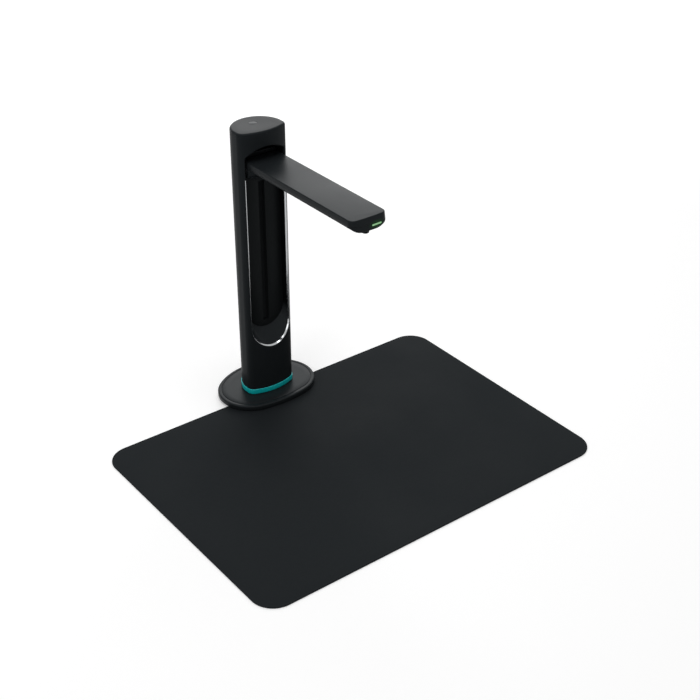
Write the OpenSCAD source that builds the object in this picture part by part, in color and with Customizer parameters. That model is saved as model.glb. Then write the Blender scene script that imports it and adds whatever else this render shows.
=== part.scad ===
// Desk book scanner: a column on a weighted base, with a camera arm that folds down into the column.
// Origin at the middle of the whole footprint on the desk, +Z up, front towards -Y.

/* [Scan mat] */
// Width of the mat
mat_w = 460; // [400:5:520]
// Depth of the mat, front to back
mat_d = 330; // [300:5:380]
// Thickness of the mat
mat_t = 1.5; // [1:0.1:2]
// Corner radius of the mat
mat_corner_r = 27; // [10:1:45]
// Length of the base that stands on the mat
mat_tuck = 36.5; // [30:0.5:40]

/* [Base] */
// Width of the base
foot_w = 126; // [115:1:140]
// Reach of the base in front of the stand's middle
foot_front = 46; // [43:1:55]
// Reach of the base behind the stand's middle
foot_rear = 46; // [43:1:55]
// Radius of the base's front edge, seen from above
foot_front_r = 140; // [110:5:200]
// Radius of the base's corners, seen from above
foot_corner_r = 41; // [36:1:44]
// Height of the base cover's lower edge above the mat
foot_gap = 1.1; // [0.8:0.1:2]
// Height of the base cover
foot_h = 5.8; // [5.6:0.1:8]
// Rounding of the base cover's upper edge
foot_round = 1.6; // [0.8:0.1:2]
// Top wall of the base cover
cover_top_t = 2.4; // [1.8:0.1:2.6]
// Side wall of the base cover
cover_wall = 2.6; // [1.8:0.1:4]
// Thickness of the base plate
plate_t = 1.6; // [1.2:0.1:1.7]
// Distance of the decorative groove from the base's edge
groove_in = 4.2; // [3:0.1:8]
// Width of the decorative groove
groove_w = 0.7; // [0.4:0.1:1.2]
// Depth of the decorative groove
groove_depth = 0.6; // [0.3:0.1:1]
// Diameter of the rubber feet
pad_d = 14; // [10:0.5:18]
// Depth of the pockets that hold the rubber feet
pad_pocket = 0.6; // [0.3:0.1:0.9]
// Sideways distance of the feet from the middle
pad_x = 33; // [30:1:36]
// Front-to-back distance of the feet from the middle
pad_y = 24.5; // [23:0.5:26]

/* [Column] */
// Width of the column
column_w = 63.2; // [60:0.2:66]
// Reach of the column in front of the stand's middle
column_front = 23; // [22.5:0.1:24]
// Reach of the column behind the stand's middle
column_rear = 25.8; // [24:0.2:28]
// Radius of the column's front face
column_front_r = 64; // [56:1:80]
// Radius of the column's front corners
column_corner_r = 9; // [8:0.2:10]
// Wall of the column shell
column_wall = 2.4; // [2:0.1:2.6]
// Height of the column's top above the desk
column_top = 344.5; // [335:0.5:380]
// Thickness of the column's floor
column_floor_t = 4; // [3:0.2:6]
// Height of the accent ring
ring_h = 7.2; // [5:0.2:10]
// How far the accent ring stands out from the column
ring_out = 0.8; // [0.2:0.1:1.5]
// Width of the accent ring, seen from above
ring_w = 3.8; // [3.2:0.1:4.5]
// Thickness of the top cap
cap_t = 3; // [2.6:0.1:5]
// Rounding of the top cap's edge
cap_round = 1.4; // [0.6:0.1:2]
// Height of the top cap's inner rim
cap_rim_h = 4; // [3:0.2:6]
// Diameter of the touch disc
touch_d = 9; // [6:0.5:14]
// Thickness of the touch disc
touch_t = 1.2; // [0.6:0.1:1.6]
// Place of the touch disc behind the stand's middle
touch_y = 5; // [-2:0.5:8]

/* [Recess] */
// Clear width of the recess inside the trim
recess_w = 50.6; // [50:0.1:51.4]
// Room below the folded arm's tip, down to the recess's lowest point
scoop_below = 33.3; // [30:0.1:40]
// Distance of the recess's arched top below the column's top, at its sides
arch_drop = 29; // [25:0.5:30]
// Rise of the arch in the middle
recess_rise = 7; // [4:0.5:9]
// Distance of the recess's floor behind the stand's front reach
recess_depth = 15.5; // [15.4:0.1:17]
// Rise of the finger scoop between the front edge and the recess's floor
scoop_rise = 18.6; // [12:0.2:24]
// Width of the silver trim
trim_w = 2.8; // [2:0.1:3]
// Wall of the recess liner
liner_wall = 1.5; // [1.2:0.1:1.6]
// Width of the long slot in the recess's floor
slot_w = 8.4; // [8.2:0.2:10]
// Depth of the long slot
slot_depth = 5; // [2:0.2:6]
// Distance of the slot's ends from the ends of the recess's floor
slot_end = 8; // [5:0.5:20]

/* [Hinge] */
// Distance of the hinge axis below the column's top
hinge_drop = 44; // [43.6:0.1:45]
// Diameter of the hinge shaft
shaft_d = 5; // [4:0.1:5.2]
// Outer diameter of the bushes and friction sleeves
bush_d = 8; // [7:0.1:9]
// Length of one bush
bush_l = 10; // [6:0.5:14]
// Running clearance on the shaft, per side
shaft_clear = 0.04; // [0.01:0.01:0.09]
// Width of the hinge block on the arm
block_w = 46; // [45:0.2:46.4]
// Height of the hinge block
block_h = 20; // [18:0.2:20.4]
// Reach of the hinge block behind the axis
block_back = 9; // [8:0.1:9.2]
// Rounding of the hinge block's lower front edge
block_front_r = 5; // [4:0.2:8]
// Rounding of the hinge block's back edges
block_back_r = 4; // [3.6:0.2:8]
// Thickness of the hinge bracket's steel
bracket_t = 1.5; // [1:0.1:1.6]
// Room round the turning hinge block
swing_gap = 0.6; // [0.4:0.1:0.8]
// Room between the folded arm and the recess's floor
fold_gap = 0.6; // [0.4:0.1:0.8]

/* [Arm] */
// Width of the arm
arm_w = 44.4; // [40:0.2:45]
// Height of the arm's top face above the hinge axis
arm_rise = 10; // [9.8:0.1:10.2]
// Reach of the arm's tip in front of the hinge axis, at its lower edge
arm_reach = 194.3; // [185:0.1:196]
// Height of the arm's flat sides
arm_side_h = 7.6; // [7.2:0.1:9]
// Depth of the arm's rounded belly below its sides
arm_belly = 7.4; // [6.4:0.1:7.8]
// Radius of the belly's flanks
belly_r = 20; // [18:0.5:24]
// Forward lean of the tip's face
tip_lean = 9.5; // [0:0.5:14]
// Radius of the tip's face, seen from above
tip_r = 100; // [70:5:200]
// Radius of the tip's corners, seen from above
tip_corner_r = 4.5; // [4:0.5:10]
// Wall of the arm's two shells
arm_wall = 1.8; // [1.4:0.1:2]
// Diameter of the arm's screw posts
arm_post_d = 6; // [5:0.2:7]

/* [Camera and lamps] */
// Distance of the lens axis from the arm's tip
lens_back = 14.1; // [13.8:0.1:16]
// Diameter of the lens barrel
lens_d = 5.6; // [5:0.1:5.8]
// Width of the nose round the lens, which fits the slot in the recess's floor
nose_w = 7.4; // [7:0.1:7.6]
// Length of the nose along the arm
nose_l = 16; // [12:0.5:18]
// How far the nose stands below the arm
nose_h = 4.8; // [3:0.1:5]
// Length of the lamp's window
lamp_l = 50; // [40:1:56]
// Width of the lamp's window
lamp_w = 7.6; // [6:0.2:9]
// Distance of the lamp's front end from the lens axis
lamp_back = 42; // [40:0.5:46]
// Diameter of the laser module
laser_d = 6; // [5:0.2:7]
// Distance of the laser's axis from the lens axis
laser_back = 25; // [24.5:0.5:27]
// Width of the status light in the tip's face
status_w = 12.4; // [8:0.2:16]
// Height of the status light
status_h = 2.6; // [1.6:0.1:3]
// Sideways place of the status light
status_x = 8; // [-8:0.5:9]

/* [Electronics] */
// Width of the main board
board_w = 38; // [36:0.5:40]
// Distance of the main board's upper end below the column's top
board_drop = 108.5; // [100:0.5:116]
// Thickness of the circuit boards
board_t = 1.6; // [1:0.1:1.8]
// Distance of the main board behind the stand's middle
board_y = 10; // [9.4:0.2:10.6]
// Height of the main board's lower end
board_z = 28; // [24:0.5:32]
// Height of the USB socket above the main board's lower end
usb_up = 8; // [6:0.5:14]

/* [Fits] */
// Gap between parts that are put together by hand
fit_gap = 0.15; // [0.1:0.05:0.25]
// Gap round a moving or a dark shadow joint
shadow_gap = 0.3; // [0.2:0.05:0.4]

/* [Hidden] */
$fn = 96;
fine = 48;
// Corner circles stand proud by this much, so that neighbouring arcs cross and don't just touch
blend_lap = 0.02;
// Cuts run past the face that they open by this much
past = 1;
// Shanks, barrels and glasses are thinner than their holes by this much
push_play = 0.04;
// Straight part of a hole below its countersink
head_land = 0.3;

// Oval of four arcs: corner centre x and y, front radius, rear radius, corner radius, front y, rear y
function oval(w, front, rear, front_r, corner_r) =
    let (xc = w / 2 - corner_r)
    let (yc = front_r - front - sqrt(pow(front_r - corner_r, 2) - xc * xc))
    let (b = rear - yc)
    let (rear_r = (xc * xc + b * b - corner_r * corner_r) / (2 * (b - corner_r)))
    [xc, yc, front_r, rear_r, corner_r, -front, rear];
// Height at which an arc and a corner circle of an oval meet, for an arc centred at [0, y]
function chord_y(o, y, inset) =
    let (away = [o[0], o[1]] - [0, y])
    o[1] + (o[4] - inset) * away[1] / norm(away);

foot = oval(foot_w, foot_front, foot_rear, foot_front_r, foot_corner_r);
column = oval(column_w, column_front, column_rear, column_front_r, column_corner_r);

// Places along the desk, from the stand's middle
mat_rear = mat_tuck - foot_front;
stand_y = (mat_d - mat_rear - foot_rear) / 2;

// Heights of the base
foot_z = mat_t + foot_gap;
foot_top = foot_z + foot_h;
cover_under = foot_top - cover_top_t;
plate_top = foot_z + plate_t;
ballast_t = cover_under - plate_top;
plate_in = cover_wall + fit_gap;
ring_top = foot_top + ring_h;
shell_top = column_top - cap_t;
floor_top = ring_top + column_floor_t;

// Heights that follow the column's top
hinge_z = column_top - hinge_drop;
recess_side_top = column_top - arch_drop;
recess_bottom = hinge_z - arm_reach - scoop_below;
board_l = column_top - board_drop - board_z;

// Screws of the base: four under the plate, four that hold the column
base_screw_x = 44;
base_screw_y = 13;
base_screw_d = 3;
base_screw_head_d = 5.6;
base_boss_d = 8;
base_screw_l = foot_h - groove_depth - past;
column_screw_x = 14;
column_screw_y = [-9, 12];
column_screw_d = 3.4;
column_screw_head_d = 7.4;
column_screw_head_h = 1.6;
column_boss_d = 9;
column_screw_l = ring_top + column_floor_t / 2 - cover_under + column_screw_head_h;

// Recess and liner
recess_hw = recess_w / 2;
floor_y = recess_depth - column_front;
floor_back = floor_y + liner_wall;
liner_hw = recess_hw - shadow_gap;
liner_out = liner_hw + liner_wall;
scoop_mid = recess_bottom + scoop_rise + recess_hw;
trim_top = hinge_z - arm_rise;
shell_cut = trim_w + fit_gap;
liner_in = column_wall + fit_gap;
hinge_y = floor_y - fold_gap - (arm_side_h + arm_belly - arm_rise);

// Hinge block and the space that it turns in
block_front_reach = -column_front - hinge_y;
swing_r = max(
    norm([-block_front_reach - block_front_r, block_h - arm_rise - block_front_r]) + block_front_r,
    norm([block_back - block_back_r, arm_rise - block_back_r]) + block_back_r,
    norm([block_back - block_back_r, block_h - arm_rise - block_back_r]) + block_back_r);
pocket_z = hinge_z - swing_r - swing_gap;
bracket_front = hinge_y + swing_r + swing_gap;
pocket_back = bracket_front + bracket_t;
cheek_x = block_w / 2 + swing_gap;
cheek_out = min(cheek_x + bracket_t, liner_hw - fit_gap);
cheek_r = 3.8;
bracket_z = [pocket_z + 2, hinge_z + swing_r];
bracket_screw_x = 15;
bracket_screw_dz = 8;
bracket_screw_d = 2.6;
bracket_screw_head_d = 4.8;
bracket_screw_l = 5;

// Arm
seam_lip = 0.3;
arm_top_z = hinge_z + arm_rise;
seam_z = arm_top_z - arm_side_h;
belly_z = seam_z - arm_belly;
tip_y = hinge_y - arm_reach;
arm_hw = arm_w / 2;
belly_flat = arm_hw - sqrt(belly_r * belly_r - pow(belly_r - arm_belly + seam_lip, 2));
arm_cavity_back = -column_front - 6;
arm_roof = arm_top_z - arm_wall;
arm_floor = belly_z + arm_wall;
arm_screw_x = 11;
arm_screw_root = 18;
arm_screw_tip = 44;
arm_screw_y = [-column_front - arm_screw_root, tip_y + arm_screw_tip];
arm_screw_d = 2.6;
arm_screw_head_d = 4.6;
arm_screw_head_h = 1.4;

// Camera
lens_y = tip_y + lens_back;
camera_w = 30;
camera_fore = 8.6;
camera_aft = 19.4;
camera_l = [lens_y - camera_fore, lens_y + camera_aft];
camera_z = seam_z + 2.8;
camera_t = 1.2;
camera_post_x = 12.6;
camera_post_d = 4;
camera_post_fore = 5.6;
camera_post_aft = 16.4;
camera_post_y = [lens_y - camera_post_fore, lens_y + camera_post_aft];
camera_screw_d = 1.8;
camera_screw_head_d = 3.4;
camera_screw_head_h = 1;
camera_screw_l = arm_roof - camera_z - fit_gap + camera_screw_head_h;
sensor_w = 7.6;
sensor_t = 1.5;
holder_w = 11;
lens_top = camera_z - sensor_t - 1.2;
lens_low = belly_z - nose_h + 0.3;
nose_bevel = 1.4;
glass_d = 4.4;
glass_r = 9;
glass_up = 0.8;
lens_lip = 1.4;

// Laser and lamp
laser_y = lens_y + laser_back;
laser_h = 10;
laser_window_d = 5;
laser_window_t = 0.9;
laser_sleeve = 1.5;
lamp_y0 = lens_y + lamp_back;
lamp_flange = 1.6;
lamp_flange_t = 1;
lamp_rail_w = 1.2;
lamp_rail_h = 2;
lamp_board_t = 1;
led_count = 6;
led_size = [3.5, 2.8, 0.8];

// Status light
status_z = seam_z - 0.7 - status_h / 2;
status_in = 3.2;
status_led_h = 1.2;

// Ribbons
ribbon_w = 12;
ribbon_t = 0.4;
ribbon_bend = 4;
ribbon_lap = 10;

// Main board and what is on it
board_back = board_y + board_t;
board_post_x = 14;
board_post_low = 6.8;
board_post_high = 16;
board_post_z = [scoop_mid - board_post_low, board_z + board_l - board_post_high];
board_post_d = 6;
board_screw_d = 2.4;
board_screw_head_d = 4.6;
board_screw_head_h = 1.6;
board_screw_l = 8;
chip_w = 14;
chip_t = 1.4;
chip_drop = 86;
chip_gap = 1;
sink_w = 20;
sink_h = 5;
sink_base = 1.5;
fin_count = 6;
fin_t = 1.2;
memory_size = [9, 1, 12];
memory_x = 9;
memory_drop = 24;
memory_low = board_post_z[0] + board_screw_head_d / 2 + chip_gap + memory_size[2] / 2;
chip_z = max(board_z + board_l - chip_drop, memory_low + memory_drop);
memory_z = chip_z - memory_drop;
usb_w = 9;
usb_h = 3.3;
usb_wall = 0.3;
usb_z = board_z + usb_up;
usb_mouth = 1.2;
usb_back_t = 2;
tongue_w = 6.6;
tongue_t = 0.7;
tongue_short = 1;

// Rear cover
rear_hw = 19;
rear_low = 4;
rear_high = 14;
rear_z = [floor_top + rear_low, shell_top - rear_high];
rear_step = 2;
rear_step_t = 1.2;

// Touch board
touch_board_w = 34;
touch_board_d = 18;
touch_board_t = 1.2;
touch_post_x = 13;
touch_post_d = 5;
touch_screw_d = 2;
touch_screw_head_d = 4;
touch_screw_head_h = 1.2;
touch_screw_l = 4;

// Moves a piece from the stand's middle to its place over the footprint
module on_stand() {
    translate([0, stand_y, 0]) children();
}

// Prism of a profile in x and z, from y0 back to y1
module along_y(y0, y1) {
    translate([0, y1, 0]) rotate([90, 0, 0]) linear_extrude(y1 - y0) children();
}

// Prism of a profile in y and z, from x0 to x1
module along_x(x0, x1) {
    translate([x0, 0, 0]) rotate([90, 0, 90]) linear_extrude(x1 - x0) children();
}

// Prism of a profile in x and y, from z0 up to z1
module along_z(z0, z1) {
    translate([0, 0, z0]) linear_extrude(z1 - z0) children();
}

// Round bar across the stand, along x
module cross_bar(r, x0, x1) {
    translate([x0, 0, 0]) rotate([0, 90, 0]) cylinder(r = r, h = x1 - x0, $fn = fine);
}

// Round bar front to back, from y0 to y1
module deep_bar(r, y0, y1) {
    translate([0, y1, 0]) rotate([90, 0, 0]) cylinder(r = r, h = y1 - y0, $fn = fine);
}

// Outline of an oval, drawn in by an even distance
module oval_outline(o, inset = 0) {
    reach = 4 * o[2];
    front_c = o[5] + o[2];
    rear_c = o[6] - o[3];
    low = chord_y(o, front_c, inset);
    high = chord_y(o, rear_c, inset);
    intersection() {
        translate([0, front_c]) circle(o[2] - inset);
        translate([-reach / 2, low - reach]) square(reach);
    }
    intersection() {
        translate([0, rear_c]) circle(o[3] - inset);
        translate([-reach / 2, high]) square(reach);
    }
    for (side = [-1, 1])
        translate([side * o[0], o[1]]) circle(o[4] - inset + blend_lap);
    translate([-o[0], low - past]) square([2 * o[0], high - low + 2 * past]);
}

// Solid oval with a rounded upper edge
module rounded_oval(o, z0, z1, r) {
    steps = 4;
    hull() {
        along_z(z0, z1 - r) oval_outline(o);
        for (i = [1 : steps])
            along_z(z0, z1 - r + r * sin(90 * i / steps)) oval_outline(o, r * (1 - cos(90 * i / steps)));
    }
}

// Outline of the recess in x and z: round at the bottom, arched at the top
module recess_outline(inset) {
    hw = recess_hw - inset;
    mid = recess_bottom + recess_hw;
    arch_r = (recess_hw * recess_hw + recess_rise * recess_rise) / (2 * recess_rise);
    arch_z = recess_side_top + recess_rise - arch_r;
    translate([0, mid]) circle(hw);
    translate([-hw, mid]) square([2 * hw, arch_z - mid]);
    intersection() {
        translate([-hw, arch_z - past]) square([2 * hw, recess_side_top]);
        translate([0, arch_z]) circle(arch_r - inset, $fn = 2 * $fn);
    }
}

// Slot with round ends, lying along x
module slot_outline(w, h) {
    square([w - h, h], center = true);
    for (side = [-1, 1]) translate([side * (w - h) / 2, 0]) circle(h / 2, $fn = fine);
}

// Rectangle with rounded corners
module round_rect(w, d, r) {
    square([w - 2 * r, d], center = true);
    square([w, d - 2 * r], center = true);
    for (x = [-1, 1], y = [-1, 1]) translate([x * (w / 2 - r), y * (d / 2 - r)]) circle(r);
}

// Four places, one in each quarter
module four(x, y) {
    for (sx = [-1, 1], sy = [-1, 1]) translate([sx * x, sy * y, 0]) children();
}

// Places of the screws that hold the column
module at_column_screws() {
    for (sx = [-1, 1], y = column_screw_y) translate([sx * column_screw_x, y, 0]) children();
}

// Places of the screws that close the arm
module at_arm_screws() {
    for (sx = [-1, 1], y = arm_screw_y) translate([sx * arm_screw_x, y, 0]) children();
}

// Places of the screws that hold the main board, in x and z
module at_board_screws() {
    for (sx = [-1, 1], z = board_post_z) translate([sx * board_post_x, 0, z]) children();
}

// Places of the screws that hold the camera board
module at_camera_screws() {
    for (sx = [-1, 1], y = camera_post_y) translate([sx * camera_post_x, y, 0]) children();
}

// Places of the screws that hold the hinge bracket, in x and z
module at_bracket_screws() {
    for (sx = [-1, 1], sz = [-1, 1])
        translate([sx * bracket_screw_x, 0, hinge_z + sz * bracket_screw_dz]) children();
}

module scan_mat() {
    color("#222426") translate([0, stand_y + mat_rear - mat_d / 2, 0])
        linear_extrude(mat_t) round_rect(mat_w, mat_d, mat_corner_r);
}

module base_cover() {
    color("#2b2d2f") on_stand() difference() {
        rounded_oval(foot, foot_z, foot_top, foot_round);
        difference() {
            along_z(foot_z - past, cover_under) oval_outline(foot, cover_wall);
            four(base_screw_x, base_screw_y)
                translate([0, 0, plate_top]) cylinder(d = base_boss_d, h = foot_h, $fn = fine);
        }
        along_z(foot_top - groove_depth, foot_top + past) difference() {
            oval_outline(foot, groove_in);
            oval_outline(foot, groove_in + groove_w);
        }
        four(base_screw_x, base_screw_y)
            translate([0, 0, foot_z])
                cylinder(d = base_screw_d, h = base_screw_l + 2 * push_play, $fn = fine);
        at_column_screws() cylinder(d = column_screw_d + 2 * fit_gap, h = foot_top + past, $fn = fine);
    }
}

module base_plate() {
    color("#1c1d1e") on_stand() difference() {
        along_z(foot_z, plate_top) oval_outline(foot, plate_in);
        four(pad_x, pad_y)
            translate([0, 0, foot_z - past]) cylinder(d = pad_d + 2 * fit_gap, h = past + pad_pocket);
        four(base_screw_x, base_screw_y) {
            translate([0, 0, foot_z - past])
                cylinder(d = base_screw_d + 2 * fit_gap, h = plate_t + 2 * past, $fn = fine);
            translate([0, 0, foot_z])
                cylinder(
                    d1 = base_screw_head_d,
                    d2 = base_screw_d + 2 * fit_gap,
                    h = plate_t - head_land,
                    $fn = fine
                );
        }
    }
}

module ballast_plate() {
    color("#7c7f82") on_stand() difference() {
        along_z(plate_top, cover_under) oval_outline(foot, plate_in + 1);
        four(base_screw_x, base_screw_y)
            translate([0, 0, plate_top - past])
                cylinder(d = base_boss_d + 2 * shadow_gap, h = ballast_t + 2 * past, $fn = fine);
        at_column_screws() translate([0, 0, plate_top - past])
            cylinder(d = column_screw_head_d + 2 * shadow_gap, h = ballast_t + 2 * past, $fn = fine);
    }
}

module front_feet() {
    color("#141414") on_stand() for (side = [-1, 1]) translate([side * pad_x, -pad_y, mat_t])
        cylinder(d = pad_d, h = foot_gap + pad_pocket);
}

module rear_feet() {
    color("#141414") on_stand() for (side = [-1, 1]) translate([side * pad_x, pad_y, 0])
        cylinder(d = pad_d, h = foot_z + pad_pocket);
}

module base_screws() {
    color("#8d9093") on_stand() four(base_screw_x, base_screw_y) translate([0, 0, foot_z]) {
        cylinder(
            d1 = base_screw_head_d - 2 * fit_gap,
            d2 = base_screw_d,
            h = plate_t - head_land,
            $fn = fine
        );
        cylinder(d = base_screw_d - push_play, h = base_screw_l, $fn = fine);
    }
}

module column_screws() {
    color("#8d9093") on_stand() at_column_screws() {
        translate([0, 0, cover_under - column_screw_head_h])
            cylinder(d = column_screw_head_d, h = column_screw_head_h, $fn = fine);
        translate([0, 0, cover_under - column_screw_head_h])
            cylinder(d = column_screw_d - push_play, h = column_screw_l, $fn = fine);
    }
}

module accent_ring() {
    color("#10868a") on_stand() along_z(foot_top, ring_top) difference() {
        oval_outline(column, -ring_out);
        oval_outline(column, ring_w - ring_out);
    }
}

module column_shell() {
    color("#2a2c2e") on_stand() {
        difference() {
            union() {
                along_z(ring_top, shell_top) difference() {
                    oval_outline(column);
                    oval_outline(column, column_wall);
                }
                along_z(ring_top, floor_top) oval_outline(column, column_wall / 2);
                at_column_screws() translate([0, 0, foot_top])
                    cylinder(d = column_boss_d, h = floor_top - foot_top, $fn = fine);
            }
            along_y(-column_front - past, column[1]) intersection() {
                recess_outline(-shell_cut);
                translate([-column_w, 0]) square([2 * column_w, trim_top]);
            }
            along_y(-column_front - past, column[1]) intersection() {
                recess_outline(liner_hw - liner_out);
                translate([-column_w, trim_top - past]) square([2 * column_w, column_top]);
            }
            along_z(rear_z[0], rear_z[1]) intersection() {
                difference() {
                    oval_outline(column, -past);
                    oval_outline(column, rear_step_t);
                }
                translate([-rear_hw, 0]) square([2 * rear_hw, column_w]);
            }
            translate([-rear_hw + rear_step, 0, rear_z[0] + rear_step])
                cube([2 * (rear_hw - rear_step), column_w, rear_z[1] - rear_z[0] - 2 * rear_step]);
            at_column_screws() translate([0, 0, foot_top - past])
                cylinder(d = column_screw_d, h = floor_top - foot_top, $fn = fine);
        }
    }
}

module rear_cover() {
    usb_cut = 2 * shadow_gap;
    color("#2a2c2e") on_stand() difference() {
        union() {
            along_z(rear_z[0] + fit_gap, rear_z[1] - fit_gap) intersection() {
                difference() {
                    oval_outline(column);
                    oval_outline(column, rear_step_t - fit_gap);
                }
                translate([-rear_hw + fit_gap, 0]) square([2 * (rear_hw - fit_gap), column_w]);
            }
            along_z(rear_z[0] + rear_step + fit_gap, rear_z[1] - rear_step - fit_gap) intersection() {
                difference() {
                    oval_outline(column, rear_step_t / 2);
                    oval_outline(column, column_wall);
                }
                translate([-rear_hw + rear_step + fit_gap, 0])
                    square([2 * (rear_hw - rear_step - fit_gap), column_w]);
            }
        }
        along_y(board_back, column_rear + past)
            translate([0, usb_z]) slot_outline(usb_w + usb_cut, usb_h + usb_cut);
    }
}

// Space of the recess up to its straight part, with the slanted bottom of the finger scoop
module scoop_cut() {
    slope = scoop_rise / (floor_y + column_front - column_wall);
    front_z = scoop_mid - scoop_rise - slope * (column_wall + past);
    hull() {
        along_y(-column_front - past, -column_front) for (z = [front_z, scoop_mid])
            translate([0, z]) circle(liner_hw);
        along_y(-column_front, floor_y) translate([0, scoop_mid]) circle(liner_hw);
    }
}

// Outline of the recess's floor panel in x and z: round at the bottom, straight at the top
module floor_outline(inset) {
    hw = liner_hw - inset;
    translate([0, scoop_mid]) circle(hw);
    translate([-hw, scoop_mid]) square([2 * hw, pocket_z - scoop_mid]);
}

// Shelf under the hinge and the strip of back wall above it, which belong to the floor panel
module hinge_shelf(inset) {
    hw = liner_hw - inset;
    low = pocket_z - liner_wall;
    along_y(floor_y, pocket_back + liner_wall) translate([-hw, low]) square([2 * hw, liner_wall]);
    along_y(pocket_back, pocket_back + liner_wall)
        translate([-hw, low]) square([2 * hw, trim_top - low]);
}

// Walls of the recess and of the hinge pocket above it, in one run
module recess_walls() {
    out = liner_hw - liner_out + shadow_gap;
    difference() {
        union() {
            intersection() {
                along_z(0, column_top) oval_outline(column, liner_in);
                union() {
                    along_y(-column_front, floor_back) recess_outline(out);
                    along_y(-column_front, pocket_back + liner_wall) intersection() {
                        recess_outline(out);
                        translate([-column_w, pocket_z - liner_wall]) square([2 * column_w, column_top]);
                    }
                }
            }
            at_bracket_screws() deep_bar(board_post_d / 2, pocket_back, pocket_back + bracket_screw_l);
        }
        along_y(floor_y - past, floor_back + past) floor_outline(0);
        hinge_shelf(0);
        along_y(-column_front - past, floor_y) intersection() {
            recess_outline(shadow_gap);
            translate([-column_w, scoop_mid]) square([2 * column_w, column_top]);
        }
        along_y(-column_front - past, pocket_back) intersection() {
            recess_outline(shadow_gap);
            translate([-column_w, pocket_z]) square([2 * column_w, column_top]);
        }
        at_bracket_screws()
            deep_bar(bracket_screw_d / 2, pocket_back - past, pocket_back + bracket_screw_l + past);
    }
}

module recess_liner() {
    color("#1a1c1d") on_stand() difference() {
        recess_walls();
        along_z(trim_top, column_top) square(2 * column_w, center = true);
        scoop_cut();
    }
}

module hinge_pocket() {
    color("#1a1c1d") on_stand() intersection() {
        recess_walls();
        along_z(trim_top, column_top) square(2 * column_w, center = true);
    }
}

// Floor panel of the recess, with its long slot, the hinge shelf and the posts of the main board
module recess_floor() {
    slot_z = [recess_bottom + scoop_rise + slot_end, pocket_z - slot_end];
    color("#1a1c1d") on_stand() difference() {
        union() {
            along_y(floor_y, floor_back) floor_outline(fit_gap);
            hinge_shelf(fit_gap);
            translate([-slot_w / 2 - liner_wall, floor_y, slot_z[0] - liner_wall]) cube([
                slot_w + 2 * liner_wall, slot_depth + liner_wall, slot_z[1] - slot_z[0] + 2 * liner_wall
            ]);
            at_board_screws() deep_bar(board_post_d / 2, floor_y + liner_wall / 2, board_y);
        }
        translate([-slot_w / 2, floor_y - past, slot_z[0]])
            cube([slot_w, slot_depth + past, slot_z[1] - slot_z[0]]);
        at_board_screws() deep_bar(board_screw_d / 2, board_y - board_screw_l, board_y + past);
    }
}

module trim_frame() {
    color("#c9ccce") on_stand() intersection() {
        along_z(0, trim_top - fit_gap) difference() {
            oval_outline(column);
            oval_outline(column, column_wall);
        }
        along_y(-column_front - past, column[1]) difference() {
            recess_outline(-trim_w);
            recess_outline(0);
        }
    }
}

module top_cap() {
    color("#3a3c3e") on_stand() difference() {
        union() {
            rounded_oval(column, shell_top, column_top, cap_round);
            along_z(shell_top - cap_rim_h, shell_top + past) difference() {
                oval_outline(column, liner_in);
                oval_outline(column, liner_in + column_wall);
            }
            for (side = [-1, 1]) translate([side * touch_post_x, touch_y, shell_top - cap_rim_h])
                cylinder(d = touch_post_d, h = cap_rim_h + past, $fn = fine);
        }
        translate([0, touch_y, column_top - touch_t])
            cylinder(d = touch_d + fit_gap, h = touch_t + past, $fn = fine);
        for (side = [-1, 1]) translate([side * touch_post_x, touch_y, shell_top - cap_rim_h - past])
            cylinder(d = touch_screw_d, h = touch_screw_l + past, $fn = fine);
    }
}

module touch_disc() {
    color("#6d7073") on_stand() translate([0, touch_y, column_top - touch_t])
        cylinder(d = touch_d, h = touch_t, $fn = fine);
}

module touch_board() {
    z = shell_top - cap_rim_h;
    color("#1f5b36") on_stand() difference() {
        along_z(z - touch_board_t, z)
            translate([0, touch_y]) square([touch_board_w, touch_board_d], center = true);
        for (side = [-1, 1]) translate([side * touch_post_x, touch_y, z - touch_board_t - past])
            cylinder(d = touch_screw_d + 2 * fit_gap, h = touch_board_t + 2 * past, $fn = fine);
    }
}

module touch_screws() {
    z = shell_top - cap_rim_h - touch_board_t;
    color("#8d9093") on_stand() for (side = [-1, 1]) translate([side * touch_post_x, touch_y, z]) {
        translate([0, 0, -touch_screw_head_h])
            cylinder(d = touch_screw_head_d, h = touch_screw_head_h, $fn = fine);
        translate([0, 0, -touch_screw_head_h])
            cylinder(d = touch_screw_d - push_play, h = touch_screw_head_h + touch_screw_l, $fn = fine);
    }
}

module hinge_bracket() {
    cheek_root = bracket_front + bracket_t / 2;
    color("#3b3d40") on_stand() difference() {
        union() {
            translate([-cheek_out, bracket_front, bracket_z[0]])
                cube([2 * cheek_out, bracket_t, bracket_z[1] - bracket_z[0]]);
            for (side = [0, 1]) mirror([side, 0, 0]) along_x(cheek_x, cheek_out) {
                translate([hinge_y, hinge_z]) circle(cheek_r, $fn = fine);
                polygon([
                    [hinge_y, hinge_z - cheek_r], [hinge_y, hinge_z + cheek_r],
                    [cheek_root, bracket_z[1] - 1], [cheek_root, bracket_z[0] + 1]
                ]);
            }
        }
        translate([0, hinge_y, hinge_z]) cross_bar(shaft_d / 2, -column_w, column_w);
        at_bracket_screws() {
            deep_bar(bracket_screw_d / 2 + fit_gap, bracket_front - past, pocket_back + past);
            translate([0, bracket_front, 0]) rotate([-90, 0, 0])
                cylinder(
                    d1 = bracket_screw_head_d, d2 = bracket_screw_d + 2 * fit_gap, h = bracket_t - head_land,
                    $fn = fine
                );
        }
    }
}

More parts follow.
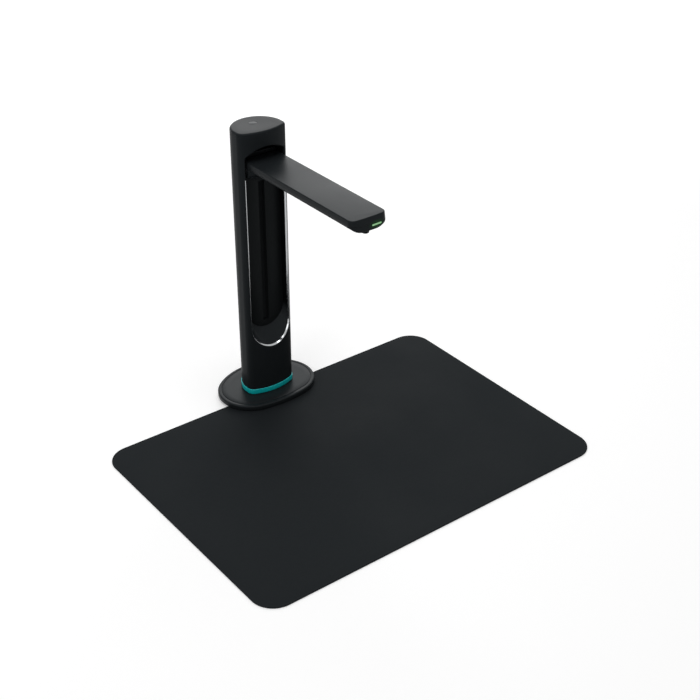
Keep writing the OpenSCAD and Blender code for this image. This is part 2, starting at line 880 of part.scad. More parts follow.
module bracket_screws() {
    color("#8d9093") on_stand() at_bracket_screws() translate([0, bracket_front, 0]) rotate([-90, 0, 0]) {
        cylinder(
            d1 = bracket_screw_head_d - 2 * fit_gap,
            d2 = bracket_screw_d,
            h = bracket_t - head_land,
            $fn = fine
        );
        cylinder(d = bracket_screw_d - push_play, h = bracket_t + bracket_screw_l, $fn = fine);
    }
}

module hinge_shaft() {
    color("#b4b7ba") on_stand() translate([0, hinge_y, hinge_z])
        cross_bar(shaft_d / 2, -cheek_out, cheek_out);
}

module main_board() {
    color("#1f5b36") on_stand() difference() {
        translate([-board_w / 2, board_y, board_z]) cube([board_w, board_t, board_l]);
        at_board_screws() deep_bar(board_screw_d / 2 + fit_gap, board_y - past, board_back + past);
    }
}

module board_screws() {
    color("#8d9093") on_stand() at_board_screws() {
        deep_bar(board_screw_head_d / 2, board_back, board_back + board_screw_head_h);
        deep_bar(
            board_screw_d / 2 - push_play / 2,
            board_y - board_screw_l + past,
            board_back + board_screw_head_h
        );
    }
}

module processor() {
    color("#26282b") on_stand() translate([-chip_w / 2, board_back, chip_z - chip_w / 2])
        cube([chip_w, chip_t, chip_w]);
}

module heat_sink() {
    pitch = (sink_w - fin_t) / (fin_count - 1);
    color("#9da1a5") on_stand() translate([-sink_w / 2, board_back + chip_t, chip_z - sink_w / 2]) {
        cube([sink_w, sink_base, sink_w]);
        for (i = [0 : fin_count - 1]) translate([i * pitch, 0, 0]) cube([fin_t, sink_h, sink_w]);
    }
}

module memory_chips() {
    color("#26282b") on_stand() for (side = [-1, 1])
        translate([side * memory_x - memory_size[0] / 2, board_back, memory_z - memory_size[2] / 2])
            cube(memory_size);
}

module usb_shell() {
    mouth_y = column_rear - usb_mouth;
    color("#b9bcbf") on_stand() translate([0, 0, usb_z]) difference() {
        along_y(board_back, mouth_y) slot_outline(usb_w, usb_h);
        along_y(board_back + usb_back_t, mouth_y + past)
            slot_outline(usb_w - 2 * usb_wall, usb_h - 2 * usb_wall);
    }
}

module usb_tongue() {
    color("#202224") on_stand() translate([-tongue_w / 2, board_back + usb_back_t, usb_z - tongue_t / 2])
        cube([tongue_w, column_rear - usb_mouth - tongue_short - board_back - usb_back_t, tongue_t]);
}

module column_ribbon() {
    back = pocket_back + liner_wall;
    bend = board_z + board_l - ribbon_bend;
    end = bend - ribbon_lap;
    color("#c8ccd0") on_stand() along_x(-ribbon_w / 2, ribbon_w / 2) polygon([
        [back, hinge_z], [back, pocket_z - liner_wall], [board_y - ribbon_t, bend], [board_y - ribbon_t, end],
        [board_y, end], [board_y, bend], [back + ribbon_t, pocket_z - liner_wall], [back + ribbon_t, hinge_z]
    ]);
}

// Outline of the arm from above: parallel sides, softly rounded tip
module arm_plan(inset) {
    r = tip_corner_r - inset;
    xc = arm_hw - tip_corner_r;
    arc_y = tip_y + tip_r;
    yc = arc_y - sqrt(pow(tip_r - tip_corner_r, 2) - xc * xc);
    low = yc - r * (arc_y - yc) / (tip_r - tip_corner_r);
    back = hinge_y + arm_w;
    intersection() {
        translate([0, arc_y]) circle(tip_r - inset, $fn = 2 * $fn);
        translate([-arm_w, low - arm_w]) square([2 * arm_w, arm_w]);
    }
    for (side = [-1, 1]) translate([side * xc, yc]) circle(r + blend_lap);
    translate([-xc, low - past]) square([2 * xc, back - low + past]);
    translate([inset - arm_hw, yc]) square([2 * (arm_hw - inset), back - yc]);
}

// Body of the arm with the leaning face of its tip, between two heights and as far back as given
module arm_body(inset, z0, z1, back) {
    intersection() {
        translate([0, tip_y, belly_z]) rotate([-tip_lean, 0, 0]) translate([0, -tip_y, -arm_w])
            linear_extrude(3 * arm_w) arm_plan(inset);
        translate([-arm_w, tip_y - arm_w, z0]) cube([2 * arm_w, back - tip_y + arm_w, z1 - z0]);
    }
}

// Section of the arm's belly in x and z
module belly_section(inset) {
    for (side = [-1, 1]) translate([side * belly_flat, belly_z + belly_r]) circle(belly_r - inset);
    translate([-belly_flat, belly_z + inset]) square([2 * belly_flat, arm_belly + past]);
}

// Hinge block: rounded in side view, flush with the column's front
module hinge_block() {
    low = arm_top_z - block_h;
    front = -column_front;
    back = hinge_y + block_back;
    intersection() {
        along_x(-block_w / 2, block_w / 2) {
            translate([front, low + block_front_r])
                square([back - front - block_back_r, block_h - block_front_r]);
            translate([front + block_front_r, low])
                square([back - front - block_front_r - block_back_r, block_h]);
            translate([front + block_front_r, low + block_front_r]) circle(block_front_r, $fn = fine);
            translate([back - block_back_r, low + block_back_r])
                square([block_back_r, block_h - 2 * block_back_r]);
            for (z = [low + block_back_r, arm_top_z - block_back_r])
                translate([back - block_back_r, z]) circle(block_back_r, $fn = fine);
        }
        along_z(low - past, arm_top_z + past) oval_outline(column);
    }
}

module arm_top() {
    post_h = arm_roof - seam_z;
    color("#34373a") on_stand() difference() {
        union() {
            difference() {
                arm_body(0, seam_z, arm_top_z, hinge_y);
                arm_body(arm_wall, seam_z - past, arm_roof, arm_cavity_back);
            }
            hinge_block();
            at_arm_screws() translate([0, 0, seam_z])
                cylinder(d = arm_post_d, h = post_h + past / 2, $fn = fine);
            at_camera_screws() translate([0, 0, camera_z + camera_t])
                cylinder(d = camera_post_d, h = arm_roof + past / 2 - camera_z - camera_t, $fn = fine);
        }
        translate([0, hinge_y, hinge_z]) cross_bar(bush_d / 2, -block_w, block_w);
        at_arm_screws() translate([0, 0, seam_z - past]) cylinder(d = arm_screw_d, h = post_h, $fn = fine);
        at_camera_screws() translate([0, 0, camera_z])
            cylinder(d = camera_screw_d, h = arm_roof - camera_z, $fn = fine);
    }
}

module arm_bottom() {
    post_z = arm_floor - 0.2;
    color("#2f3235") on_stand() difference() {
        union() {
            difference() {
                intersection() {
                    along_y(tip_y - past, hinge_y) belly_section(0);
                    arm_body(0, belly_z - past, seam_z, hinge_y);
                }
                intersection() {
                    along_y(tip_y - past, arm_cavity_back) belly_section(arm_wall);
                    arm_body(arm_wall, belly_z - past, seam_z + past, arm_cavity_back);
                }
            }
            at_arm_screws() translate([0, 0, post_z])
                cylinder(d = arm_post_d, h = seam_z - post_z, $fn = fine);
            translate([0, laser_y, post_z])
                cylinder(d = laser_d + 2 * laser_sleeve, h = laser_h / 2, $fn = fine);
        }
        along_z(0, column_top) oval_outline(column, -shadow_gap);
        at_arm_screws() {
            translate([0, 0, belly_z - past])
                cylinder(d = arm_screw_d + 2 * fit_gap, h = arm_belly + 2 * past, $fn = fine);
            translate([0, 0, belly_z - past])
                cylinder(d = arm_screw_head_d + 2 * fit_gap, h = past + 1 + arm_screw_head_h, $fn = fine);
        }
        translate([0, lens_y, belly_z - past])
            cylinder(d = lens_d + lens_lip + 2 * fit_gap, h = arm_wall + 2 * past, $fn = fine);
        translate([0, laser_y, belly_z - past])
            cylinder(d = laser_window_d + 2 * fit_gap, h = laser_h, $fn = fine);
        translate([0, laser_y, belly_z + laser_window_t]) cylinder(d = laser_d, h = laser_h, $fn = fine);
        translate([-lamp_w / 2 - fit_gap, lamp_y0 - fit_gap, belly_z - past])
            cube([lamp_w + 2 * fit_gap, lamp_l + 2 * fit_gap, arm_wall + 2 * past]);
        along_y(tip_y - past, tip_y + status_in) translate([status_x, status_z])
            slot_outline(status_w + 2 * fit_gap, status_h + 2 * fit_gap);
    }
}

module hinge_bushes() {
    color("#b08d57") on_stand() translate([0, hinge_y, hinge_z]) for (side = [0, 1]) mirror([side, 0, 0])
        difference() {
            cross_bar(bush_d / 2, block_w / 2 - bush_l, block_w / 2);
            cross_bar(shaft_d / 2 + shaft_clear, 0, block_w);
        }
}

module friction_sleeves() {
    count = 3;
    gap = 0.6;
    slit = 0.8;
    room = block_w - 2 * bush_l;
    l = (room - (count + 1) * gap) / count;
    color("#6f7376") on_stand() translate([0, hinge_y, hinge_z]) for (i = [0 : count - 1])
        translate([-room / 2 + gap + i * (l + gap), 0, 0]) difference() {
            cross_bar(bush_d / 2, 0, l);
            cross_bar(shaft_d / 2 + shaft_clear, -past, l + past);
            translate([-past, -slit / 2, 0]) cube([l + 2 * past, slit, bush_d]);
        }
}

module camera_board() {
    color("#1f5b36") on_stand() difference() {
        translate([-camera_w / 2, camera_l[0], camera_z])
            cube([camera_w, camera_fore + camera_aft, camera_t]);
        at_camera_screws() translate([0, 0, camera_z - past])
            cylinder(d = camera_screw_d + 2 * fit_gap, h = camera_t + 2 * past, $fn = fine);
    }
}

module camera_screws() {
    color("#8d9093") on_stand() at_camera_screws() {
        translate([0, 0, camera_z - camera_screw_head_h])
            cylinder(d = camera_screw_head_d, h = camera_screw_head_h, $fn = fine);
        translate([0, 0, camera_z - camera_screw_head_h])
            cylinder(d = camera_screw_d - push_play, h = camera_screw_l, $fn = fine);
    }
}

module image_sensor() {
    color("#3c4650") on_stand() translate([-sensor_w / 2, lens_y - sensor_w / 2, camera_z - sensor_t])
        cube([sensor_w, sensor_w, sensor_t]);
}

module lens_holder() {
    low = lens_top - 4;
    room = sensor_w + 2 * shadow_gap;
    color("#17181a") on_stand() translate([0, lens_y, 0]) difference() {
        translate([-holder_w / 2, -holder_w / 2, low]) cube([holder_w, holder_w, camera_z - low]);
        translate([-room / 2, -room / 2, lens_top + 0.4]) cube([room, room, camera_z]);
        translate([0, 0, low - past]) cylinder(d = lens_d, h = camera_z, $fn = fine);
    }
}

module lens_barrel() {
    color("#101112") on_stand() translate([0, lens_y, 0]) difference() {
        translate([0, 0, lens_low]) cylinder(d = lens_d - push_play, h = lens_top - lens_low);
        translate([0, 0, lens_low - past]) cylinder(d = glass_d, h = lens_top - lens_low - lens_lip + past);
        translate([0, 0, lens_low]) cylinder(d = glass_d - 2 * lens_lip, h = lens_top);
    }
}

module lens_glass() {
    z = lens_low + glass_up;
    sag = glass_r - sqrt(glass_r * glass_r - glass_d * glass_d / 4);
    color("#3a4a66") on_stand() translate([0, lens_y, 0]) intersection() {
        translate([0, 0, z + glass_r - sag]) sphere(glass_r);
        translate([0, 0, z - sag - past]) cylinder(d = glass_d - push_play, h = 2 + sag + past, $fn = fine);
    }
}

// Nose round the lens: long and narrow, with a bevelled lower edge
module lens_ring() {
    color("#2c2e30") on_stand() translate([0, lens_y, 0]) difference() {
        union() {
            hull() {
                along_z(belly_z - nose_h + nose_bevel, belly_z) rotate(90) slot_outline(nose_l, nose_w);
                along_z(belly_z - nose_h, belly_z)
                    rotate(90) slot_outline(nose_l - 2 * nose_bevel, nose_w - 2 * nose_bevel);
            }
            along_z(belly_z - past, belly_z + arm_wall) circle(d = lens_d + lens_lip);
        }
        along_z(belly_z - nose_h - past, belly_z + arm_wall + past) circle(d = lens_d + 2 * fit_gap);
    }
}

module laser_module() {
    color("#b08d57") on_stand() translate([0, laser_y, belly_z + laser_window_t])
        cylinder(d = laser_d - push_play, h = laser_h, $fn = fine);
}

module laser_window() {
    color("#7a2a2a") on_stand() translate([0, laser_y, belly_z])
        cylinder(d = laser_window_d, h = laser_window_t, $fn = fine);
}

module lamp_diffuser() {
    w = lamp_w + 2 * lamp_flange;
    l = lamp_l + 2 * lamp_flange;
    color("#e8eae8") on_stand() translate([0, lamp_y0 + lamp_l / 2, belly_z]) {
        translate([-lamp_w / 2, -lamp_l / 2, 0]) cube([lamp_w, lamp_l, arm_wall]);
        translate([-w / 2, -l / 2, arm_wall]) cube([w, l, lamp_flange_t]);
        for (side = [-1, 1]) translate([side * (w - lamp_rail_w) / 2 - lamp_rail_w / 2, -l / 2, arm_wall])
            cube([lamp_rail_w, l, lamp_flange_t + lamp_rail_h]);
    }
}

module lamp_board() {
    w = lamp_w + 2 * lamp_flange;
    l = lamp_l + 2 * lamp_flange;
    z = arm_floor + lamp_flange_t + lamp_rail_h;
    color("#f0f0ec") on_stand() translate([-w / 2, lamp_y0 - lamp_flange, z]) cube([w, l, lamp_board_t]);
}

module lamp_leds() {
    z = arm_floor + lamp_flange_t + lamp_rail_h - led_size[2];
    pitch = lamp_l / led_count;
    color("#f2e7a0") on_stand() for (i = [0 : led_count - 1])
        translate([-led_size[0] / 2, lamp_y0 + (i + 0.5) * pitch - led_size[1] / 2, z]) cube(led_size);
}

module status_guide() {
    color("#37d067") on_stand() intersection() {
        along_y(tip_y - past, tip_y + status_in) translate([status_x, status_z])
            slot_outline(status_w, status_h);
        arm_body(0, belly_z, seam_z, hinge_y);
    }
}

module status_led() {
    color("#d8f2d8") on_stand() translate([status_x - 1.5, camera_l[0] + 0.5, camera_z - status_led_h])
        cube([3, 2, status_led_h]);
}

module arm_screws() {
    low = belly_z + 1;
    color("#8d9093") on_stand() at_arm_screws() {
        translate([0, 0, low]) cylinder(d = arm_screw_head_d, h = arm_screw_head_h, $fn = fine);
        translate([0, 0, low]) cylinder(d = arm_screw_d - push_play, h = arm_roof - low - 2, $fn = fine);
    }
}

module arm_ribbon() {
    color("#c8ccd0") on_stand()
        translate([-ribbon_w / 2, camera_post_y[1], arm_roof - ribbon_t])
            cube([ribbon_w, arm_cavity_back - camera_post_y[1], ribbon_t]);
}

scan_mat();
base_cover();
base_plate();
ballast_plate();
front_feet();
rear_feet();
base_screws();
column_screws();
accent_ring();
column_shell();
rear_cover();
recess_liner();
hinge_pocket();
recess_floor();
trim_frame();
top_cap();
touch_disc();
touch_board();
touch_screws();
hinge_bracket();
bracket_screws();
hinge_shaft();
main_board();
board_screws();
processor();
heat_sink();
memory_chips();
usb_shell();
usb_tongue();
column_ribbon();
arm_top();
arm_bottom();
hinge_bushes();
friction_sleeves();
camera_board();
camera_screws();
image_sensor();
lens_holder();
lens_barrel();
lens_glass();
lens_ring();
laser_module();
laser_window();
lamp_diffuser();
lamp_board();
lamp_leds();
status_guide();
status_led();
arm_screws();
arm_ribbon();
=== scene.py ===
import math
import bmesh
import bpy
import numpy as np
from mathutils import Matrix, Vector


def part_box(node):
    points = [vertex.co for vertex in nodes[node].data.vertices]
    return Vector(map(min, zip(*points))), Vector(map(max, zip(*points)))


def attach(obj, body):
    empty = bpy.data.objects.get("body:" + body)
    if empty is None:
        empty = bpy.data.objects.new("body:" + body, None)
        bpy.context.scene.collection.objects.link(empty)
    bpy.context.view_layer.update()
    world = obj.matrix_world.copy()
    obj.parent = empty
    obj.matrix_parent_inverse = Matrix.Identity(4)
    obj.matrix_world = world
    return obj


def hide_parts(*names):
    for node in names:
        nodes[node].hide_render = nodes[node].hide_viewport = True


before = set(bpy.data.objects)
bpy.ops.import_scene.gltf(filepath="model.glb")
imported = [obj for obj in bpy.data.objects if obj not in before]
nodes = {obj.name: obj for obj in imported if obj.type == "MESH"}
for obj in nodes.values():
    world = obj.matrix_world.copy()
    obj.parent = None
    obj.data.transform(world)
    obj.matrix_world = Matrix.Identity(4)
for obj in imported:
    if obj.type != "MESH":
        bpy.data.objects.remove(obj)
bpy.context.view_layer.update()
print("frame loaded:", len(nodes), "nodes")

# pieces are worked out in millimetres from the stand's middle, then put in their place in metres
mm = 0.001
quarter = math.pi / 2
lineDecimals = 4  # grid lines are rounded to this
sameLine = 0.001  # and are the same line within this distance
coverLow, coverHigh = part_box("base_cover")
standY = (coverLow.y + coverHigh.y) / 2


def inPlace(points):
    # millimetres to metres, moved to where the stand's middle is in the frame
    return np.asarray(points, float) * mm + np.array([0.0, standY, 0.0])


def gridQuads(rows, cols, wrapRows=False, wrapCols=False):
    # quad i,j joins row i to i+1 and column j to j+1, counted round where it wraps
    i = np.arange(rows if wrapRows else rows - 1)[:, None]
    j = np.arange(cols if wrapCols else cols - 1)[None, :]
    i2 = (i + 1) % rows
    j2 = (j + 1) % cols
    quads = np.stack([i * cols + j, i * cols + j2, i2 * cols + j2, i2 * cols + j], -1)
    return quads.reshape(-1, 4)


def surface(points, wrapRows=False, wrapCols=False, capped=False, keep=None):
    # a grid of points as one sheet, with a flat face over its first and last row where asked
    rows, cols = points.shape[:2]
    quads = gridQuads(rows, cols, wrapRows, wrapCols)
    if keep is not None:
        quads = quads[keep.reshape(-1)]
    caps = []
    if capped:
        caps.append(np.arange(cols).tolist())
        caps.append((np.arange(cols) + (rows - 1) * cols).tolist())
    return points.reshape(-1, 3), quads, caps


def cappedTube(points):
    # loops that follow each other, closed round and at both ends
    return surface(points, wrapCols=True, capped=True)


def levelLoop(loop, z):
    # a loop of plan points, all at one height
    return np.column_stack([loop, np.full(len(loop), z)])


edgeLook = {"crease": 38, "segments": 3, "decimals": 3,
            "nodeWeld": 0.000002, "nodeFacet": 0.4, "nodeAngle": 40, "nodeSegments": 2}


def softEdges(piece, width, angle, segments):
    edge = piece.modifiers.new("edge", "BEVEL")
    edge.width = width * mm
    edge.segments = segments
    edge.limit_method = "ANGLE"
    edge.angle_limit = math.radians(angle)


def sharpCreases(piece):
    split = piece.modifiers.new("split", "EDGE_SPLIT")
    split.split_angle = math.radians(edgeLook["crease"])


def smoothFaces(mesh):
    mesh.polygons.foreach_set("use_smooth", np.ones(len(mesh.polygons), bool))


def makePiece(name, sheets, material, body, replaced, thick=0.0, even=True, bevel=None):
    # joins the sheets and welds equal points; a sheet with a wall keeps its side, a closed one is turned out
    points, faces, offset = [], [], 0
    for sheetPoints, quads, caps in sheets:
        points.append(sheetPoints)
        faces += (quads + offset).tolist()
        faces += [[k + offset for k in cap] for cap in caps]
        offset += len(sheetPoints)
    points = np.concatenate(points)
    rounded = np.round(points, edgeLook["decimals"])
    _, first, inverse = np.unique(rounded, axis=0, return_index=True, return_inverse=True)
    inverse = inverse.reshape(-1)
    faces = [[int(inverse[k]) for k in face] for face in faces]
    faces = [[k for n, k in enumerate(face) if k != face[n - 1]] for face in faces]
    faces = [face for face in faces if len(face) > 2]
    mesh = bpy.data.meshes.new(name)
    mesh.from_pydata(inPlace(points[first]).tolist(), [], faces)
    if not thick:
        work = bmesh.new()
        work.from_mesh(mesh)
        bmesh.ops.recalc_face_normals(work, faces=work.faces)
        work.to_mesh(mesh)
        work.free()
    smoothFaces(mesh)
    mesh.materials.append(material)
    piece = bpy.data.objects.new(name, mesh)
    bpy.context.scene.collection.objects.link(piece)
    if thick:
        wall = piece.modifiers.new("wall", "SOLIDIFY")
        wall.thickness = thick * mm
        wall.offset = -1
        wall.use_even_offset = even
    if bevel:
        softEdges(piece, bevel["width"], bevel["angle"], edgeLook["segments"])
    sharpCreases(piece)
    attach(piece, body)
    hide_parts(replaced)


def dressNode(name, material, bevel):
    # a CAD node keeps its mesh; its facets are merged, its edges softened
    node = nodes[name]
    node.data.materials.clear()
    node.data.materials.append(material)
    smoothFaces(node.data)
    weld = node.modifiers.new("weld", "WELD")
    weld.merge_threshold = edgeLook["nodeWeld"]
    if bevel:
        flat = node.modifiers.new("flat", "DECIMATE")
        flat.decimate_type = "DISSOLVE"
        flat.angle_limit = math.radians(edgeLook["nodeFacet"])
        softEdges(node, bevel, edgeLook["nodeAngle"], edgeLook["nodeSegments"])
    sharpCreases(node)


# finishes

def shade(r, g, b):
    # eight-bit colour as seen, turned into linear light
    seen = np.array([r, g, b], float) / 255
    linear = np.where(seen <= 0.04045, seen / 12.92, ((seen + 0.055) / 1.055) ** 2.4)
    return tuple(float(v) for v in linear) + (1.0,)


def tinted(colour, factor):
    # the colour made darker or lighter, never past white
    return tuple(min(c * factor, 1.0) for c in colour[:3]) + (1.0,)


def feed(node, name, value):
    # another node's output is linked to the socket, a plain value is set on it
    socket = node.inputs[name]
    if isinstance(value, bpy.types.NodeSocket):
        node.id_data.links.new(value, socket)
    else:
        socket.default_value = value


def newMaterial(name):
    material = bpy.data.materials.new(name)
    material.use_nodes = True
    tree = material.node_tree
    shader = tree.nodes["Principled BSDF"]
    coords = tree.nodes.new("ShaderNodeTexCoord")
    return material, tree, shader, coords


def noiseNode(tree, coords, scale, detail=3.0, stretch=None):
    source = coords.outputs["Object"]
    if stretch:
        mapping = tree.nodes.new("ShaderNodeMapping")
        feed(mapping, "Scale", stretch)
        feed(mapping, "Vector", source)
        source = mapping.outputs["Vector"]
    noise = tree.nodes.new("ShaderNodeTexNoise")
    feed(noise, "Scale", scale)
    feed(noise, "Detail", detail)
    feed(noise, "Vector", source)
    return noise.outputs["Fac"]


def rampNode(tree, source, low, high, lowAt=0.3, highAt=0.7):
    ramp = tree.nodes.new("ShaderNodeValToRGB")
    ramp.color_ramp.elements[0].position = lowAt
    ramp.color_ramp.elements[0].color = low
    ramp.color_ramp.elements[1].position = highAt
    ramp.color_ramp.elements[1].color = high
    feed(ramp, "Fac", source)
    return ramp.outputs["Color"]


def rangeNode(tree, source, low, high, fromLow=0.3, fromHigh=0.7, smooth=False):
    # most of a noise lies between 0.3 and 0.7
    spread = tree.nodes.new("ShaderNodeMapRange")
    if smooth:
        spread.interpolation_type = "SMOOTHSTEP"
    feed(spread, "From Min", fromLow)
    feed(spread, "From Max", fromHigh)
    feed(spread, "To Min", low)
    feed(spread, "To Max", high)
    feed(spread, "Value", source)
    return spread.outputs["Result"]


def lengthNode(tree, vector):
    length = tree.nodes.new("ShaderNodeVectorMath")
    length.operation = "LENGTH"
    feed(length, 0, vector)
    return length.outputs["Value"]


def cellNode(tree, coords, scale, feature="F1"):
    cells = tree.nodes.new("ShaderNodeTexVoronoi")
    cells.feature = feature
    feed(cells, "Scale", scale)
    feed(cells, "Vector", coords.outputs["Object"])
    return cells.outputs["Distance"]


def bumpNode(tree, source, shader, strength, depth):
    bump = tree.nodes.new("ShaderNodeBump")
    feed(bump, "Strength", strength)
    feed(bump, "Distance", depth)
    feed(bump, "Height", source)
    feed(shader, "Normal", bump.outputs["Normal"])


plasticLook = {"sheen": (0.87, 0.96, 1.0, 1.0), "cloudDetail": 4.0, "grainDetail": 2.0, "roughSpread": 0.05,
               "grainDepth": 0.0002}


def darkSheen(shader, gloss):
    # the dark plastics shine a little bluish
    feed(shader, "Specular IOR Level", gloss)
    feed(shader, "Specular Tint", plasticLook["sheen"])


def mouldedSkin(tree, shader, coords, look):
    # spark-eroded grain in the bump and cloudy roughness; gives back the clouds
    cloud = noiseNode(tree, coords, look["cloud"], plasticLook["cloudDetail"])
    spread = plasticLook["roughSpread"]
    feed(shader, "Roughness", rangeNode(tree, cloud, look["rough"] - spread, look["rough"] + spread))
    darkSheen(shader, look["gloss"])
    grain = noiseNode(tree, coords, look["grain"], plasticLook["grainDetail"])
    bumpNode(tree, grain, shader, look["bump"], plasticLook["grainDepth"])
    return cloud


def mouldedPlastic(name, look):
    # moulded skin with a faint drift of colour
    material, tree, shader, coords = newMaterial(name)
    cloud = mouldedSkin(tree, shader, coords, look)
    darker = tinted(look["colour"], 1 - look["drift"])
    lighter = tinted(look["colour"], 1 + look["drift"])
    feed(shader, "Base Color", rampNode(tree, cloud, darker, lighter))
    return material


metalWear = {"darker": 0.93, "lighter": 1.04, "smoother": 0.04, "rougher": 0.06, "depth": 0.0001}


def turnedMetal(name, look):
    # fine lines along one direction break up the gloss
    material, tree, shader, coords = newMaterial(name)
    lines = noiseNode(tree, coords, look["lines"], stretch=look["stretch"])
    low = tinted(look["colour"], metalWear["darker"])
    high = tinted(look["colour"], metalWear["lighter"])
    feed(shader, "Base Color", rampNode(tree, lines, low, high))
    smoother, rougher = look["rough"] - metalWear["smoother"], look["rough"] + metalWear["rougher"]
    feed(shader, "Roughness", rangeNode(tree, lines, smoother, rougher))
    feed(shader, "Metallic", 1.0)
    bumpNode(tree, lines, shader, look["bump"], metalWear["depth"])
    return material


boardLook = {"mask": 0.7, "copper": 1.25, "edge": (0.02, 0.06), "cloud": 90.0, "rough": (0.3, 0.42),
             "bump": 0.15, "depth": 0.0001}


def printedBoard(name, look):
    # solder mask over a copper pattern of cells
    material, tree, shader, coords = newMaterial(name)
    cells = cellNode(tree, coords, look["cells"], "DISTANCE_TO_EDGE")
    mask = tinted(look["colour"], boardLook["mask"])
    copper = tinted(look["colour"], boardLook["copper"])
    feed(shader, "Base Color", rampNode(tree, cells, copper, mask, *boardLook["edge"]))
    cloud = noiseNode(tree, coords, boardLook["cloud"])
    feed(shader, "Roughness", rangeNode(tree, cloud, *boardLook["rough"]))
    bumpNode(tree, cells, shader, boardLook["bump"], boardLook["depth"])
    return material


# each finish is a row in the order of its keys
plasticKeys = ("colour", "drift", "rough", "gloss", "grain", "cloud", "bump")
finishes = {
    "shell": (shade(31, 34, 36), 0.06, 0.42, 0.035, 2600.0, 14.0, 0.1),
    "arm": (shade(26, 29, 31), 0.06, 0.33, 0.064, 2600.0, 16.0, 0.07),
    "nose": (shade(20, 22, 23), 0.06, 0.4, 0.05, 2400.0, 60.0, 0.06),
    "floorPanel": (shade(24, 26, 27), 0.06, 0.42, 0.05, 2200.0, 16.0, 0.1),
    "cap": (shade(26, 29, 31), 0.05, 0.36, 0.047, 2600.0, 20.0, 0.06),
    "base": (shade(31, 34, 36), 0.06, 0.36, 0.082, 2400.0, 14.0, 0.08),
    "accent": (shade(12, 190, 192), 0.06, 0.3, 0.4, 2000.0, 18.0, 0.06),
    "inner": (shade(18, 19, 20), 0.06, 0.5, 0.2, 1800.0, 22.0, 0.12),
    "rubber": (shade(24, 24, 25), 0.08, 0.8, 0.15, 1400.0, 30.0, 0.3),
    "chip": (shade(28, 28, 30), 0.08, 0.6, 0.3, 1600.0, 60.0, 0.15),
    "touch": (shade(30, 33, 35), 0.05, 0.3, 0.09, 2600.0, 60.0, 0.05),
    "ribbon": (shade(205, 208, 212), 0.05, 0.5, 0.4, 1200.0, 60.0, 0.08),
    "diffuser": (shade(228, 230, 228), 0.03, 0.45, 0.5, 1500.0, 40.0, 0.12),
    "led": (shade(222, 196, 96), 0.1, 0.35, 0.5, 1500.0, 300.0, 0.08),
}
paint = {key: mouldedPlastic(key + "Plastic", dict(zip(plasticKeys, row))) for key, row in finishes.items()}

# the middle of the glow is on the tip face, in the pieces' millimetres; the distances are in metres
spillLook = {"middle": (8.0, -206.4, 301.0), "stretch": (0.45, 1.0, 1.0), "near": 0.0018, "far": 0.005,
             "glow": (0.0, 0.02, 0.0, 1.0), "dark": (0.0, 0.0, 0.0, 1.0)}


def lightSpill(material, look):
    # the light's glow on the plastic round it, fading with distance and reaching further across than up
    tree = material.node_tree
    shader = tree.nodes["Principled BSDF"]
    coords = tree.nodes.new("ShaderNodeTexCoord")
    middle = tree.nodes.new("ShaderNodeMapping")
    feed(middle, "Scale", look["stretch"])
    feed(middle, "Location", (-inPlace(look["middle"]) * look["stretch"]).tolist())
    feed(middle, "Vector", coords.outputs["Object"])
    away = lengthNode(tree, middle.outputs["Vector"])
    fade = rangeNode(tree, away, 0.0, 1.0, look["near"], look["far"])
    feed(shader, "Emission Color", rampNode(tree, fade, look["glow"], look["dark"], 0.0, 1.0))
    feed(shader, "Emission Strength", 1.0)


lightSpill(paint["arm"], spillLook)

metalKeys = ("colour", "rough", "lines", "stretch", "bump")
metalLooks = {
    "trim": (shade(178, 180, 182), 0.13, 900.0, (1, 1, 0.05), 0.04),
    "steel": (shade(190, 192, 195), 0.32, 700.0, (0.1, 1, 1), 0.08),
    "blackSteel": (shade(34, 35, 37), 0.55, 500.0, (1, 0.2, 1), 0.1),
    "darkSteel": (shade(98, 100, 103), 0.45, 500.0, (1, 0.2, 1), 0.1),
    "sink": (shade(196, 198, 200), 0.38, 900.0, (1, 1, 0.1), 0.08),
    # the bushes' bronze is darkened far below its own colour, a painted shade for the hinge gap they show
    # through
    "bronzePaintedShade": (shade(46, 40, 31), 0.55, 800.0, (0.1, 1, 1), 0.06),
    "brass": (shade(196, 160, 98), 0.28, 800.0, (0.1, 1, 1), 0.06),
    "sleeve": (shade(150, 153, 157), 0.36, 900.0, (0.1, 1, 1), 0.08),
}
metal = {key: turnedMetal(key + "Metal", dict(zip(metalKeys, row))) for key, row in metalLooks.items()}
boardGreen = printedBoard("boardGreen", {"colour": shade(28, 92, 56), "cells": 260.0})
boardWhite = printedBoard("boardWhite", {"colour": shade(232, 232, 226), "cells": 320.0})

matRubberLook = {"colour": shade(29, 32, 34), "darker": 0.9, "lighter": 1.1, "rough": (0.62, 0.76),
                 "gloss": 0.05, "cloud": 7.0, "cloudDetail": 5.0, "pebbles": 900.0, "bump": 0.25,
                 "depth": 0.0003}


def matRubberMaterial(look):
    # pebbled sheet: cells for the pebbles, soft clouds for the handling marks
    material, tree, shader, coords = newMaterial("matRubber")
    cells = cellNode(tree, coords, look["pebbles"])
    cloud = noiseNode(tree, coords, look["cloud"], look["cloudDetail"])
    low = tinted(look["colour"], look["darker"])
    high = tinted(look["colour"], look["lighter"])
    feed(shader, "Base Color", rampNode(tree, cloud, low, high))
    feed(shader, "Roughness", rangeNode(tree, cloud, *look["rough"]))
    darkSheen(shader, look["gloss"])
    bumpNode(tree, cells, shader, look["bump"], look["depth"])
    return material


lensLook = {"blue": shade(14, 16, 34), "violet": shade(30, 22, 52), "cloud": 160.0, "rough": (0.02, 0.06),
            "coatRough": 0.02}


